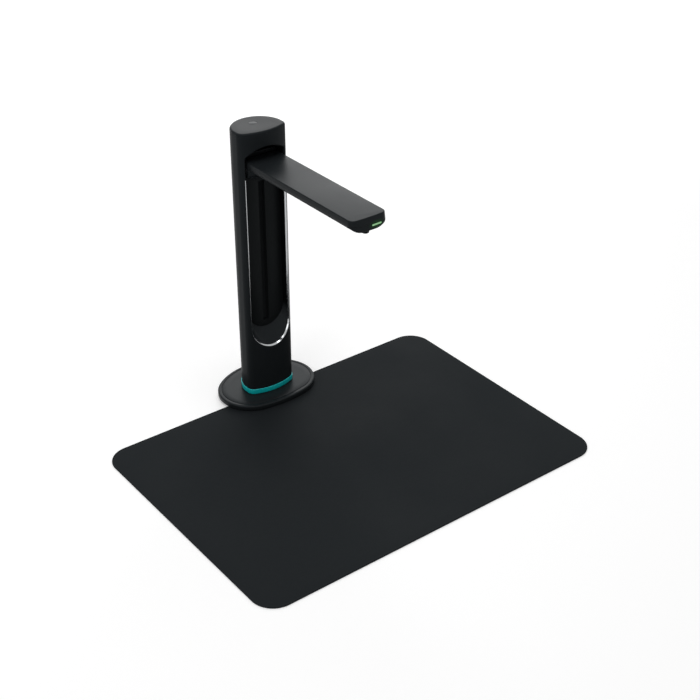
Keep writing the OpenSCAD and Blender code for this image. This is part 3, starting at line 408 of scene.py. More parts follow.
def lensGlassMaterial(look):
    # coated front element: dark blue glass with a violet cast in patches
    material, tree, shader, coords = newMaterial("lensGlass")
    cloud = noiseNode(tree, coords, look["cloud"])
    feed(shader, "Base Color", rampNode(tree, cloud, look["blue"], look["violet"]))
    feed(shader, "Roughness", rangeNode(tree, cloud, *look["rough"]))
    feed(shader, "Coat Weight", 1.0)
    feed(shader, "Coat Roughness", look["coatRough"])
    return material


glowLook = {"cloud": 220.0, "rough": (0.25, 0.4)}


def glowMaterial(name, base, glow, power):
    # lit plastic whose colour drifts a little along its length
    material, tree, shader, coords = newMaterial(name)
    cloud = noiseNode(tree, coords, glowLook["cloud"])
    feed(shader, "Base Color", rampNode(tree, cloud, base, glow))
    feed(shader, "Roughness", rangeNode(tree, cloud, *glowLook["rough"]))
    feed(shader, "Emission Color", glow)
    feed(shader, "Emission Strength", power)
    return material


# scoop is a painted light colour for the upward-facing finger scoop; wall is the plastic darkened to near
# black as painted shade for the recess and the hinge pocket
linerLook = {"scoop": shade(42, 45, 47), "wall": shade(8, 9, 10), "scoopLow": 0.108, "scoopHigh": 0.117,
             "rough": 0.45, "gloss": 0.04, "grain": 2200.0, "cloud": 16.0, "bump": 0.1}


def linerMaterial(look):
    # moulded skin with painted light and shade: greyer in the finger scoop at its foot, a painted highlight
    # where it faces up to the lamps, and near black above it, a painted shade for the recess's shadow
    material, tree, shader, coords = newMaterial("linerPaintedShadeAndLight")
    parts = tree.nodes.new("ShaderNodeSeparateXYZ")
    feed(parts, "Vector", coords.outputs["Object"])
    # painted light of the scoop below scoopLow, turning into the painted shade of the walls above scoopHigh
    height = rangeNode(tree, parts.outputs["Z"], 0.0, 1.0, look["scoopLow"], look["scoopHigh"])
    feed(shader, "Base Color", rampNode(tree, height, look["scoop"], look["wall"], 0.0, 1.0))
    mouldedSkin(tree, shader, coords, look)
    return material


matSkin = matRubberMaterial(matRubberLook)
lensSkin = lensGlassMaterial(lensLook)
linerPaintedShadeSkin = linerMaterial(linerLook)
statusSkin = glowMaterial("statusGreen", shade(80, 128, 80), shade(128, 176, 126), 0.6)
laserSkin = glowMaterial("laserRed", shade(96, 16, 18), shade(140, 24, 26), 0.0)
print("materials made:", len(bpy.data.materials))


# the stand's ovals

def ovalShape(width, front, rear, frontR, cornerR):
    # four arcs: front arc, two corner arcs, rear arc, all tangent
    cornerX = width / 2 - cornerR
    cornerY = frontR - front - math.sqrt((frontR - cornerR) ** 2 - cornerX ** 2)
    behind = rear - cornerY
    rearR = (cornerX ** 2 + behind ** 2 - cornerR ** 2) / (2 * (behind - cornerR))
    return {"frontR": frontR, "cornerR": cornerR, "rearR": rearR, "cornerX": cornerX, "cornerY": cornerY,
            "frontMid": frontR - front, "rearMid": rear - rearR,
            "frontTurn": math.asin(cornerX / (frontR - cornerR)),
            "rearTurn": math.pi - math.asin(cornerX / (rearR - cornerR))}


def ovalPoint(oval, inset, turn):
    # point whose outward normal is turned by that angle from the front; each arc drawn in by inset
    side, angle = np.sign(turn), np.abs(turn)
    front, rear = angle <= oval["frontTurn"], angle >= oval["rearTurn"]
    midX = np.where(front | rear, 0.0, oval["cornerX"])
    midY = np.where(front, oval["frontMid"], np.where(rear, oval["rearMid"], oval["cornerY"]))
    r = np.where(front, oval["frontR"], np.where(rear, oval["rearR"], oval["cornerR"])) - inset
    return np.stack([side * (midX + r * np.sin(angle)), midY - r * np.cos(angle)], -1)


def ovalTurns(oval, front, corner, rear):
    # angles all the way round, as many on each arc as asked
    half = np.concatenate([np.linspace(0, oval["frontTurn"], front),
                           np.linspace(oval["frontTurn"], oval["rearTurn"], corner)[1:],
                           np.linspace(oval["rearTurn"], math.pi, rear)[1:]])
    return np.concatenate([-half[1:-1][::-1], half])


def turnAtX(oval, x):
    # angle at which the front half of the oval reaches that distance from the middle
    x = np.asarray(x, float)
    onFront = np.abs(x) <= oval["frontR"] * math.sin(oval["frontTurn"])
    frontAngle = np.arcsin(np.clip(x / oval["frontR"], -1, 1))
    cornerAngle = np.arcsin(np.clip((np.abs(x) - oval["cornerX"]) / oval["cornerR"], -1, 1))
    return np.where(onFront, frontAngle, np.sign(x) * cornerAngle)


def rimmed(oval, turns, profile):
    # each profile row (inset, height) is one loop of the oval
    profile = np.asarray(profile, float)
    loops = ovalPoint(oval, profile[:, 0][:, None], turns[None, :])
    heights = np.broadcast_to(profile[:, 1][:, None, None], loops.shape[:2] + (1,))
    return np.concatenate([loops, heights], -1)


def filletRows(height, r, steps=6):
    # quarter circle from the side wall up onto the flat top
    bend = np.linspace(0, quarter, steps + 1)
    return np.stack([r * (1 - np.cos(bend)), height - r + r * np.sin(bend)], -1).tolist()


def archRadius(half, rise):
    # radius of the arc through both ends of an opening and its highest point
    return (half ** 2 + rise ** 2) / (2 * rise)


foot = ovalShape(width=126.0, front=46.0, rear=46.0, frontR=140.0, cornerR=41.0)
column = ovalShape(width=63.2, front=23.0, rear=25.8, frontR=64.0, cornerR=9.0)
footTurns = ovalTurns(foot, front=30, corner=60, rear=40)
columnTurns = ovalTurns(column, front=30, corner=50, rear=40)


def columnFrontY(x):
    # how far forward the column's face is at that distance from the middle
    return ovalPoint(column, 0.0, turnAtX(column, x))[..., 1]


# scan mat: a rounded sheet with soft edges, its profile as rows of inset and height

matLook = {"width": 460.0, "front": -339.5, "rear": -9.5, "corner": 27.0, "steps": 25,
           "profile": ((0.5, 0.0), (0.12, 0.12), (0.0, 0.4), (0.0, 1.05), (0.1, 1.32), (0.35, 1.47),
                       (0.75, 1.5), (14.0, 1.5))}


def matLoop(mat, inset):
    # rounded rectangle: every corner arc is drawn in by inset about its own centre
    bend = np.linspace(0, quarter, mat["steps"])
    turn = np.concatenate([bend + corner * quarter for corner in range(4)])
    sideX = np.repeat([1, -1, -1, 1], mat["steps"])
    sideY = np.repeat([1, 1, -1, -1], mat["steps"])
    midY = (mat["front"] + mat["rear"]) / 2
    halfX = mat["width"] / 2 - mat["corner"]
    halfY = (mat["rear"] - mat["front"]) / 2 - mat["corner"]
    r = mat["corner"] - inset
    return np.stack([sideX * halfX + r * np.cos(turn), midY + sideY * halfY + r * np.sin(turn)], -1)


matRows = np.stack([levelLoop(matLoop(matLook, inset), z) for inset, z in matLook["profile"]])
makePiece("scanMat", [cappedTube(matRows)], matSkin, "stand", "scan_mat")

# base cover: oval rim with a rounded edge and a fine groove round the top
# rim rows are inset and height over the underside, groove rows are inset past the groove's edge and depth

baseLook = {"low": 2.6, "top": 8.4, "round": 1.6, "wall": 2.6, "under": 6.0, "groove": 4.2, "flat": 12.0,
            "rimRows": ((0.4, 0.0), (0.12, 0.08), (0.0, 0.35)),
            "grooveRows": ((-0.1, 0.0), (0.03, 0.07), (0.1, 0.52), (0.2, 0.6), (0.5, 0.6), (0.6, 0.52),
                           (0.67, 0.07), (0.8, 0.0))}


def baseSection(base):
    # inner wall, underside of the rim, rounded upper edge, groove, flat top
    rim = [(inset, base["low"] + rise) for inset, rise in base["rimRows"]]
    groove = [(base["groove"] + inset, base["top"] - deep) for inset, deep in base["grooveRows"]]
    return ([(base["wall"], base["under"]), (base["wall"], base["low"])] + rim
            + filletRows(base["top"], base["round"]) + groove + [(base["flat"], base["top"])])


makePiece("baseCover", [cappedTube(rimmed(foot, footTurns, baseSection(baseLook)))],
          paint["base"], "stand", "base_cover")

# accent ring round the column's foot

ringLook = {"out": 0.8, "width": 3.8, "low": 8.4, "top": 15.6, "lowRound": 2.2, "topRound": 0.7, "steps": 7}


def ringSection(ring):
    # rounded lower edge, plain band, rounded upper edge; insets are from the column's face
    face, back = -ring["out"], ring["width"] - ring["out"]
    bend = np.linspace(0, quarter, ring["steps"])
    low = np.stack([face + ring["lowRound"] * (1 - np.sin(bend)),
                    ring["low"] + ring["lowRound"] * (1 - np.cos(bend))], -1)
    top = np.stack([face + ring["topRound"] * (1 - np.cos(bend)),
                    ring["top"] - ring["topRound"] * (1 - np.sin(bend))], -1)
    return np.concatenate([[(back, ring["low"])], low, top, [(back, ring["top"])]])


ringRows = rimmed(column, columnTurns, ringSection(ringLook))
makePiece("accentRing", [surface(ringRows, wrapRows=True, wrapCols=True)],
          paint["accent"], "stand", "accent_ring")

# column shell: the oval tube with the recess cut out of its front and a panel out of its back

shellLook = {"low": 15.6, "top": 341.5, "wall": 2.4, "openHalf": 27.25, "pocketHalf": 26.8, "bend": 98.2,
             "step": 290.5, "archSide": 316.3, "apex": 327.0, "rearHalf": 19.0, "rearLow": 23.6,
             "rearHigh": 327.5, "bevel": {"width": 0.1, "angle": 50}}
shellSteps = {"low": 30, "mid": 40, "step": 8, "top": 10, "side": 44, "rear": 8, "panel": 22, "front": 61,
              "arch": 49, "strip": 3}


def shellPatch(turns, heights):
    # heights is a grid of rows and columns; every column follows one angle of the oval
    xy = np.broadcast_to(ovalPoint(column, 0.0, turns)[None], heights.shape + (2,))
    return np.concatenate([xy, heights[..., None]], -1)


def levelPatch(turns, rows):
    # a patch whose rows are level
    return shellPatch(turns, np.repeat(rows[:, None], len(turns), 1))


def shellHeights(shell, steps):
    # every height at which a row of the shell lies, so that neighbouring patches share their points
    stops = [("low", "bend", "low"), ("bend", "step", "mid"), ("step", "archSide", "step"),
             ("archSide", "top", "top")]
    rows = [np.linspace(shell[low], shell[high], steps[key]) for low, high, key in stops]
    rows.append([shell["rearLow"], shell["rearHigh"]])
    return np.unique(np.round(np.concatenate(rows), lineDecimals))


def shellBack(shell, steps, rows):
    # from one edge of the opening round the back to the other, less the cells of the rear panel
    openTurn = turnAtX(column, shell["openHalf"])
    panelTurn = math.pi - math.asin(shell["rearHalf"] / column["rearR"])
    half = np.concatenate([np.linspace(openTurn, column["rearTurn"], steps["side"]),
                           np.linspace(column["rearTurn"], panelTurn, steps["rear"])[1:],
                           np.linspace(panelTurn, math.pi, steps["panel"])[1:]])
    turns = np.concatenate([half, half[:-1][::-1] * -1])
    cellTurn = (np.abs(turns)[1:] + np.abs(turns)[:-1]) / 2
    cellZ = (rows[1:] + rows[:-1]) / 2
    inPanel = (cellZ > shell["rearLow"]) & (cellZ < shell["rearHigh"])
    cut = inPanel[:, None] & (cellTurn > panelTurn)[None, :]
    return surface(levelPatch(turns, rows), keep=~cut)


def shellFront(shell, steps, rows):
    # rows under the opening are squeezed down to the U, with its half circle at the upper edge
    turns = turnAtX(column, shell["openHalf"] * np.sin(np.linspace(-quarter, quarter, steps["front"])))
    x = ovalPoint(column, 0.0, turns)[:, 0]
    edge = shell["bend"] - np.sqrt(np.maximum(shell["openHalf"] ** 2 - x ** 2, 0))
    share = (rows - shell["low"]) / (shell["bend"] - shell["low"])
    return surface(shellPatch(turns, shell["low"] + share[:, None] * (edge - shell["low"])[None, :]))


def shellArch(shell, steps, rows):
    # rows over the opening are squeezed up to the arch at the lower edge
    turns = turnAtX(column, np.linspace(-shell["pocketHalf"], shell["pocketHalf"], steps["arch"]))
    x = ovalPoint(column, 0.0, turns)[:, 0]
    r = archRadius(shell["pocketHalf"], shell["apex"] - shell["archSide"])
    edge = shell["apex"] - r + np.sqrt(r ** 2 - x ** 2)
    share = (rows - rows[0]) / (shell["top"] - rows[0])
    return surface(shellPatch(turns, edge[None, :] + share[:, None] * (shell["top"] - edge)[None, :]))


def shellSheets(shell, steps):
    # back, front under the opening, front over the arch, and a strip on each side of the narrower pocket
    rows = shellHeights(shell, steps)
    stripRows = rows[rows >= shell["step"] - sameLine]
    stripEnds = turnAtX(column, [shell["pocketHalf"], shell["openHalf"]])
    strip = np.linspace(*stripEnds, steps["strip"])
    return [shellBack(shell, steps, rows), shellFront(shell, steps, rows[rows <= shell["bend"] + sameLine]),
            shellArch(shell, steps, rows[rows >= shell["archSide"] - sameLine]),
            surface(levelPatch(strip, stripRows)), surface(levelPatch(-strip[::-1], stripRows))]


makePiece("columnShell", shellSheets(shellLook, shellSteps), paint["shell"], "stand",
          "column_shell", thick=shellLook["wall"], bevel=shellLook["bevel"])

# top cap: rounded rim, and a flat that runs in to the seat of the touch disc

capLook = {"low": 341.5, "top": 344.5, "round": 2.8, "steps": 8, "discR": 4.6, "discY": 5.0, "seat": 343.3,
           "rimRows": ((2.6, 0.0), (0.06, 0.0), (0.0, 0.05)), "flatShares": (0.3, 0.6, 0.9, 1.0)}


def capLoops(cap):
    # loops of the rim, then loops that turn from the oval into the disc's circle, then the seat
    profile = [(inset, cap["low"] + rise) for inset, rise in cap["rimRows"]]
    rim = rimmed(column, columnTurns, profile + filletRows(cap["top"], cap["round"], cap["steps"]))
    seatY = cap["discY"] - cap["discR"] * np.cos(columnTurns)
    seat = np.stack([cap["discR"] * np.sin(columnTurns), seatY], -1)
    lip = rim[-1][:, :2]
    flat = [levelLoop(lip * (1 - share) + seat * share, cap["top"]) for share in cap["flatShares"]]
    return np.concatenate([rim, flat, [levelLoop(seat, cap["seat"])]])


makePiece("topCap", [cappedTube(capLoops(capLook))], paint["cap"], "stand", "top_cap")

# silver trim round the recess; lip rows are a share of the lip's width and the depth there

trimLook = {"half": 25.3, "mid": 98.2, "top": 290.35, "chamfer": 1.25, "drop": 2.0, "lip": 0.62,
            "deep": 3.0, "foot": 0.1, "slope": (0.03, 0.97, 6), "sideSteps": 59, "bendSteps": 81,
            "lipRows": ((0.02, 0.02), (0.1, 0.0), (0.5, 0.0), (0.86, 0.01), (0.95, 0.05), (1.0, 0.16))}


def trimBand(trim):
    # profile across the band (outward distance, depth behind the column's face), carried along the U:
    # a steep chamfer up from the recess, a narrow flush lip, and both edges a little rounded
    slope = np.linspace(*trim["slope"])
    lipShare, lipDeep = np.array(trim["lipRows"] + ((1.0, trim["deep"]),)).T
    across = np.concatenate([[0.0, 0.0], slope * trim["chamfer"], trim["chamfer"] + trim["lip"] * lipShare])
    inner = [trim["deep"], trim["drop"] + trim["foot"]]
    deep = np.concatenate([inner, (1 - slope) * trim["drop"], lipDeep])
    straight = np.linspace(trim["top"], trim["mid"], trim["sideSteps"] + 1)[:-1]
    bend = np.linspace(0, math.pi, trim["bendSteps"])
    ones, noughts = np.ones(len(straight)), np.zeros(len(straight))
    outX = np.concatenate([ones, np.cos(bend), -ones])[:, None]
    outZ = np.concatenate([noughts, -np.sin(bend), noughts])[:, None]
    midZ = np.concatenate([straight, np.full(len(bend), trim["mid"]), straight[::-1]])[:, None]
    reach = trim["half"] + across[None, :]
    x = reach * outX
    return np.stack([x, columnFrontY(x) + deep[None, :], midZ + reach * outZ], -1)


makePiece("trimFrame", [cappedTube(trimBand(trimLook))],
          metal["trim"], "stand", "trim_frame")

# hinge pocket: side walls and arch behind the column's opening, closed at the back by a flat wall

pocketLook = {"half": 25.0, "wall": 1.5, "low": 290.5, "front": 2.9, "back": 4.5, "side": 316.0,
              "apex": 325.2, "sideSteps": 13, "archSteps": 49}


def pocketPath(pocket, out):
    # up one side, over the arch and down the other, moved outwards by out
    half, apex = pocket["half"] + out, pocket["apex"] + out
    r = archRadius(half, apex - pocket["side"])
    reach = math.asin(half / r)
    turn = np.linspace(reach, -reach, pocket["archSteps"])
    straight = np.linspace(pocket["low"], pocket["side"], pocket["sideSteps"] + 1)[:-1]
    side = np.full(len(straight), half)
    x = np.concatenate([side, r * np.sin(turn), -side])
    z = np.concatenate([straight, apex - r + r * np.cos(turn), straight[::-1]])
    return x, z


def pocketWalls(pocket):
    # wall section (inner front, inner back, outer back, outer front) carried along the path
    inX, inZ = pocketPath(pocket, 0.0)
    outX, outZ = pocketPath(pocket, pocket["wall"])
    frontIn, frontOut = columnFrontY(inX) + pocket["front"], columnFrontY(outX) + pocket["front"]
    back = np.full(len(inX), pocket["back"] + pocket["wall"])
    corners = [(inX, frontIn, inZ), (inX, back, inZ), (outX, back, outZ), (outX, frontOut, outZ)]
    return np.stack([np.stack(corner, -1) for corner in corners], 1)


def pocketBack(pocket):
    # flat wall with the path's outline, between two depths
    x, z = pocketPath(pocket, pocket["wall"] / 2)
    depths = (pocket["back"], pocket["back"] + pocket["wall"])
    return np.stack([np.stack([x, np.full(len(x), depth), z], -1) for depth in depths])


# the pocket's walls and arch wear the liner's near-black painted shade
makePiece("hingePocket", [cappedTube(pocketWalls(pocketLook)), cappedTube(pocketBack(pocketLook))],
          linerPaintedShadeSkin, "stand", "hinge_pocket")
print("stand pieces made")

# arm: upper shell with its hinge block, lower shell, and the nose that carries the lens
# seam rows are inset and height over the upper shell's edge; block ends are inset and share of the section

armLook = {"half": 23.1, "tip": -207.36, "tipR": 230.0, "corner": 7.0, "lean": 9.5, "belly": 295.5,
           "seam": 302.9, "top": 310.5, "sideEdge": 1.2, "tipEdge": 0.9, "shoulder": 4.0, "flank": 20.0,
           "flat": 7.82, "lowEdge": 2.6, "lowShare": 0.45, "wall": 1.6, "root": -16.0, "gap": 0.3,
           "split": 0.06, "seamRows": ((1.2, 0.0), (0.25, 0.0), (0.06, 0.04), (0.0, 0.14))}
armSteps = {"corner": 17, "tip": 31, "side": 23, "edge": 9, "lowTip": 8, "lowEdge": 5}
blockLook = {"half": 23.4, "low": 291.1, "top": 310.48, "back": -4.1, "backR": 4.0, "frontR": 5.0,
             "midY": -13.5, "flat": (-22.0, 22.0, 23), "bendSteps": 9, "ends": ((0.0, 0.955), (0.35, 0.99))}


def armTip(arm):
    # middle of the tip arc, middle of the corner arc, and the angle at which they meet
    cornerX = arm["half"] - arm["corner"]
    arcY = arm["tip"] + arm["tipR"]
    reach = arm["tipR"] - arm["corner"]
    return cornerX, arcY, arcY - math.sqrt(reach ** 2 - cornerX ** 2), math.asin(cornerX / reach)


def armLean(arm, z):
    # how far the tip face has moved back at that height
    return (z - arm["belly"]) * math.tan(math.radians(arm["lean"]))


def armOutline(arm, steps):
    # plan outline (one side, corner arc, tip arc, corner arc, other side), its outward direction,
    # and the share of the tip's lean that each point takes, none at the root
    cornerX, arcY, cornerY, meet = armTip(arm)
    bend = np.linspace(quarter, meet, steps["corner"])
    turn = np.concatenate([bend, np.linspace(meet, -meet, steps["tip"])[1:-1], -bend[::-1]])
    onTip = np.repeat([False, True, False], [len(bend), steps["tip"] - 2, len(bend)])
    r = np.where(onTip, arm["tipR"], arm["corner"])
    tipX = np.where(onTip, 0.0, np.sign(turn) * cornerX) + r * np.sin(turn)
    front = np.where(onTip, arcY, cornerY) - r * np.cos(turn)
    share = np.linspace(0, 1, steps["side"] + 1)[:-1]
    sideY = arm["root"] * (1 - share) + cornerY * share
    ones, noughts = np.ones(len(share)), np.zeros(len(share))
    x = np.concatenate([arm["half"] * ones, tipX, -arm["half"] * ones])
    y = np.concatenate([sideY, front, sideY[::-1]])
    outX = np.concatenate([ones, np.sin(turn), -ones])
    outY = np.concatenate([noughts, -np.cos(turn), noughts])
    outY[[0, -1]] = 0.5  # the root's end is drawn in by half as much
    lean = np.concatenate([share, np.ones(len(turn)), share[::-1]])
    return x, y, outX, outY, lean


def upperShell(arm, steps):
    # loops from the seam up the side and round the upper edge, whose radius is wider along the sides
    x, y, outX, outY, lean = armOutline(arm, steps)
    low = arm["seam"] + arm["split"]
    edge = arm["sideEdge"] * outX ** 2 + arm["tipEdge"] * (1 - outX ** 2)
    profile = [(inset, np.full(len(x), low + rise)) for inset, rise in arm["seamRows"]]
    profile.append((0.0, np.full(len(x), arm["top"] - arm["shoulder"])))
    for bend in np.linspace(0, quarter, steps["edge"]):
        profile.append((edge * (1 - math.cos(bend)), arm["top"] - edge * (1 - math.sin(bend))))
    return np.stack([np.stack([x - outX * inset, y - outY * inset + lean * armLean(arm, z), z], -1)
                     for inset, z in profile])


def hingeBlock(block):
    # section in depth and height, its front on the column's face, carried across the width
    inset, shares = np.array(block["ends"]).T
    end = block["half"] - inset
    middle = np.linspace(*block["flat"])
    x = np.concatenate([-end, middle, end[::-1]])
    share = np.concatenate([shares, np.ones(len(middle)), shares[::-1]])[:, None]
    bend = np.linspace(0, quarter, block["bendSteps"])
    front = columnFrontY(x)[:, None]
    ones = np.ones((len(x), 1))
    low, top, frontR, backR = (block[key] for key in ("low", "top", "frontR", "backR"))
    backMid = block["back"] - backR
    y = np.concatenate([front, front + frontR * (1 - np.cos(bend)), ones * (backMid + backR * np.sin(bend)),
                        ones * (backMid + backR * np.cos(bend))], 1)
    z = np.concatenate([ones * top, ones * (low + frontR - frontR * np.sin(bend)),
                        ones * (low + backR * (1 - np.cos(bend))),
                        ones * (top - backR * (1 - np.sin(bend)))], 1)
    midZ = (low + top) / 2
    y = block["midY"] + (y - block["midY"]) * share
    z = midZ + (z - midZ) * share
    return np.stack([np.broadcast_to(x[:, None], y.shape), y, z], -1)


makePiece("armTop", [cappedTube(upperShell(armLook, armSteps)), cappedTube(hingeBlock(blockLook))],
          paint["arm"], "arm", "arm_top")

# lower shell: every round hole sits in a square of cells
# lines are further stretches along the arm, each with its number of grid lines

holeLook = {"screwX": 11.0, "screwY": (-41.0, -163.4), "screwR": 2.45, "screwHalf": 3.5, "laserY": -168.3,
            "laserR": 2.6, "lampHalf": 3.85, "lampFront": -151.35, "lampRear": -101.25, "squareLines": 9,
            "lines": ((-99.0, -47.0, 9), (-148.0, -105.0, 8)), "acrossLines": (6, 4, 9, 9)}


def bellyZ(arm, x):
    # flat in the middle, then an arc up to each side
    over = np.clip(np.abs(x) - arm["flat"], 0, None)
    return arm["belly"] + arm["flank"] - np.sqrt(arm["flank"] ** 2 - over ** 2)


def tipY(arm, x):
    # the plan outline's front edge at that distance from the middle
    cornerX, arcY, cornerY, meet = armTip(arm)
    onTip = np.abs(x) <= arm["tipR"] * math.sin(meet)
    corner = cornerY - np.sqrt(np.clip(arm["corner"] ** 2 - (np.abs(x) - cornerX) ** 2, 0, None))
    return np.where(onTip, arcY - np.sqrt(arm["tipR"] ** 2 - x ** 2), corner)


def bellyLines(arm, holes):
    # grid lines that run along the edges of the squares round the holes, closer together at the arm's sides
    near, far = holes["screwX"] - holes["screwHalf"], holes["screwX"] + holes["screwHalf"]
    toLamp, toScrew, onScrew, toSide = holes["acrossLines"]
    half = np.concatenate([np.linspace(0, holes["lampHalf"], toLamp),
                           np.linspace(holes["lampHalf"], near, toScrew), np.linspace(near, far, onScrew),
                           far + (arm["half"] - far) * np.sin(np.linspace(0, quarter, toSide))])
    half = np.unique(np.round(half, lineDecimals))
    across = np.concatenate([-half[1:][::-1], half])
    squares = [(y, holes["screwHalf"]) for y in holes["screwY"]] + [(holes["laserY"], holes["lampHalf"])]
    stretches = [(y - reach, y + reach, holes["squareLines"]) for y, reach in squares]
    stops = [np.linspace(*stretch) for stretch in stretches + list(holes["lines"])]
    stops.append([holes["lampFront"], holes["lampRear"]])
    return across, np.unique(np.round(np.concatenate(stops), lineDecimals))[::-1]


def lowerShell(arm, steps, across, along):
    # height field over the plan from the column's face to the tip, rounded up into the tip face
    base = bellyZ(arm, across)
    top = arm["seam"] - arm["split"]
    r = np.minimum(arm["lowEdge"], arm["lowShare"] * (top - base))
    front = tipY(arm, across)
    rows = [np.stack([across, columnFrontY(across) - arm["gap"], base], -1)]
    rows += [np.stack([across, np.full(len(across), y), base], -1) for y in along]
    inner = front + armLean(arm, base) + r
    for share in np.linspace(0, 1, steps["lowTip"] + 1)[1:]:
        rows.append(np.stack([across, along[-1] * (1 - share) + inner * share, base], -1))
    for bend in np.linspace(0, quarter, steps["lowEdge"] + 1)[1:]:
        z = base + r * (1 - math.cos(bend))
        rows.append(np.stack([across, front + armLean(arm, z) + r * (1 - math.sin(bend)), z], -1))
    for share in (0.5, 1.0):
        z = (base + r) * (1 - share) + top * share
        rows.append(np.stack([across, front + armLean(arm, z), z], -1))
    grid = np.stack(rows)
    lips = grid[:, [0, -1]].copy()
    lips[..., 2] = top
    return np.concatenate([lips[:, :1], grid, lips[:, 1:]], 1)


def holePatch(arm, across, along, mid, half, r):
    # ring from the square's edge points, taken clockwise, in to a circle, laid on the belly
    xs = across[np.abs(across - mid[0]) < half + sameLine]
    ys = along[np.abs(along - mid[1]) < half + sameLine]
    ends = np.ones(len(ys) - 1)
    edgeX = np.concatenate([xs[:-1], xs[-1] * ends, xs[1:][::-1], xs[0] * ends])
    ends = np.ones(len(xs) - 1)
    edgeY = np.concatenate([ys[0] * ends, ys[:-1], ys[-1] * ends, ys[1:][::-1]])
    away = np.hypot(edgeX - mid[0], edgeY - mid[1])
    roundX = mid[0] + r * (edgeX - mid[0]) / away
    roundY = mid[1] + r * (edgeY - mid[1]) / away
    share = np.array([0.0, 0.5, 1.0])[:, None]
    x = edgeX * (1 - share) + roundX * share
    y = edgeY * (1 - share) + roundY * share
    return np.stack([x, y, bellyZ(arm, x)], -1)


def bellySheets(arm, steps, holes):
    # a ring round each round hole, and the shell less the cells of the holes and of the lamp's window
    across, along = bellyLines(arm, holes)
    belly = lowerShell(arm, steps, across, along)
    cellX = np.full(belly.shape[1] - 1, np.inf)  # cells beyond these lines are in no hole
    cellX[1:-1] = (across[1:] + across[:-1]) / 2
    cellY = np.full(belly.shape[0] - 1, np.inf)
    cellY[1:len(along)] = (along[1:] + along[:-1]) / 2
    onLamp = (cellY > holes["lampFront"]) & (cellY < holes["lampRear"])
    cut = (np.abs(cellX) < holes["lampHalf"])[None, :] & onLamp[:, None]
    rounds = [((side * holes["screwX"], y), holes["screwHalf"], holes["screwR"])
              for side in (-1, 1) for y in holes["screwY"]]
    rounds.append(((0.0, holes["laserY"]), holes["lampHalf"], holes["laserR"]))
    sheets = []
    for mid, half, r in rounds:
        cut = cut | ((np.abs(cellX - mid[0]) < half)[None, :] & (np.abs(cellY - mid[1]) < half)[:, None])
        sheets.append(surface(holePatch(arm, across, along, mid, half, r), wrapCols=True))
    return sheets + [surface(belly, keep=~cut)]


makePiece("armBottom", bellySheets(armLook, armSteps, holeLook), paint["arm"], "arm",
          "arm_bottom", thick=armLook["wall"], even=False)

# nose: bore rows are what is added to the bore's radius and the height over the nose's underside

noseLook = {"y": -193.3, "half": 3.95, "halfLength": 8.2, "low": 290.25, "high": 297.2, "edge": 0.95,
            "bore": 2.9, "boreRows": ((0.02, 0.0), (0.0, 0.1), (0.0, 1.95)), "steps": 25}


def pillPath(steps, start):
    # angles round both ends of a pill, and which end each belongs to
    turn = np.linspace(start, start + math.pi, steps)
    return np.concatenate([turn, turn + math.pi]), np.repeat([1.0, -1.0], steps)


def lensNose(nose):
    # pill-shaped loops down to a rounded lower edge, then in to the round bore and up it
    turn, end = pillPath(nose["steps"], 0.0)
    midY = nose["y"] + end * (nose["halfLength"] - nose["half"])
    low, edge = nose["low"], nose["edge"]
    fall = [(inset, low + edge - rise) for inset, rise in filletRows(edge, edge)]
    loops = [(turn, midY, nose["half"] - inset, z) for inset, z in [(0.0, nose["high"])] + fall]
    r = loops[-1][2]
    angle = np.arctan2(midY + r * np.sin(turn) - nose["y"], r * np.cos(turn))
    loops += [(angle, nose["y"], nose["bore"] + wider, low + rise) for wider, rise in nose["boreRows"]]
    return np.stack([levelLoop(np.stack([r * np.cos(bend), y + r * np.sin(bend)], -1), z)
                     for bend, y, r, z in loops])


makePiece("lensNose", [cappedTube(lensNose(noseLook))], paint["nose"], "arm", "lens_ring")

# status light: a lit bar that stands a little proud of the tip face

statusLook = {"x": 8.0, "z": 301.0, "wide": 12.2, "high": 1.7, "proud": 0.14, "inside": 0.8, "edge": 0.06,
              "flat": 0.3, "steps": 17}


def statusBar(arm, bar):
    # pill-shaped loops that follow the tip face: from inside it, out to a small rounded edge, then flat
    turn, end = pillPath(bar["steps"], -quarter)
    midX = bar["x"] + end * (bar["wide"] - bar["high"]) / 2
    proud, edge, flat = bar["proud"], bar["edge"], bar["high"] * bar["flat"]
    rows = []
    for inset, depth in ((0.0, bar["inside"]), (0.0, edge - proud), (edge, -proud), (flat, -proud)):
        r = bar["high"] / 2 - inset
        x = midX + r * np.cos(turn)
        z = bar["z"] + r * np.sin(turn)
        rows.append(np.stack([x, tipY(arm, x) + armLean(arm, z) + depth, z], -1))
    return np.stack(rows)


makePiece("statusLight", [cappedTube(statusBar(armLook, statusLook))], statusSkin, "arm",
          "status_guide")
print("arm pieces made")

# CAD nodes that keep their shape: finish, and how far their edges are softened

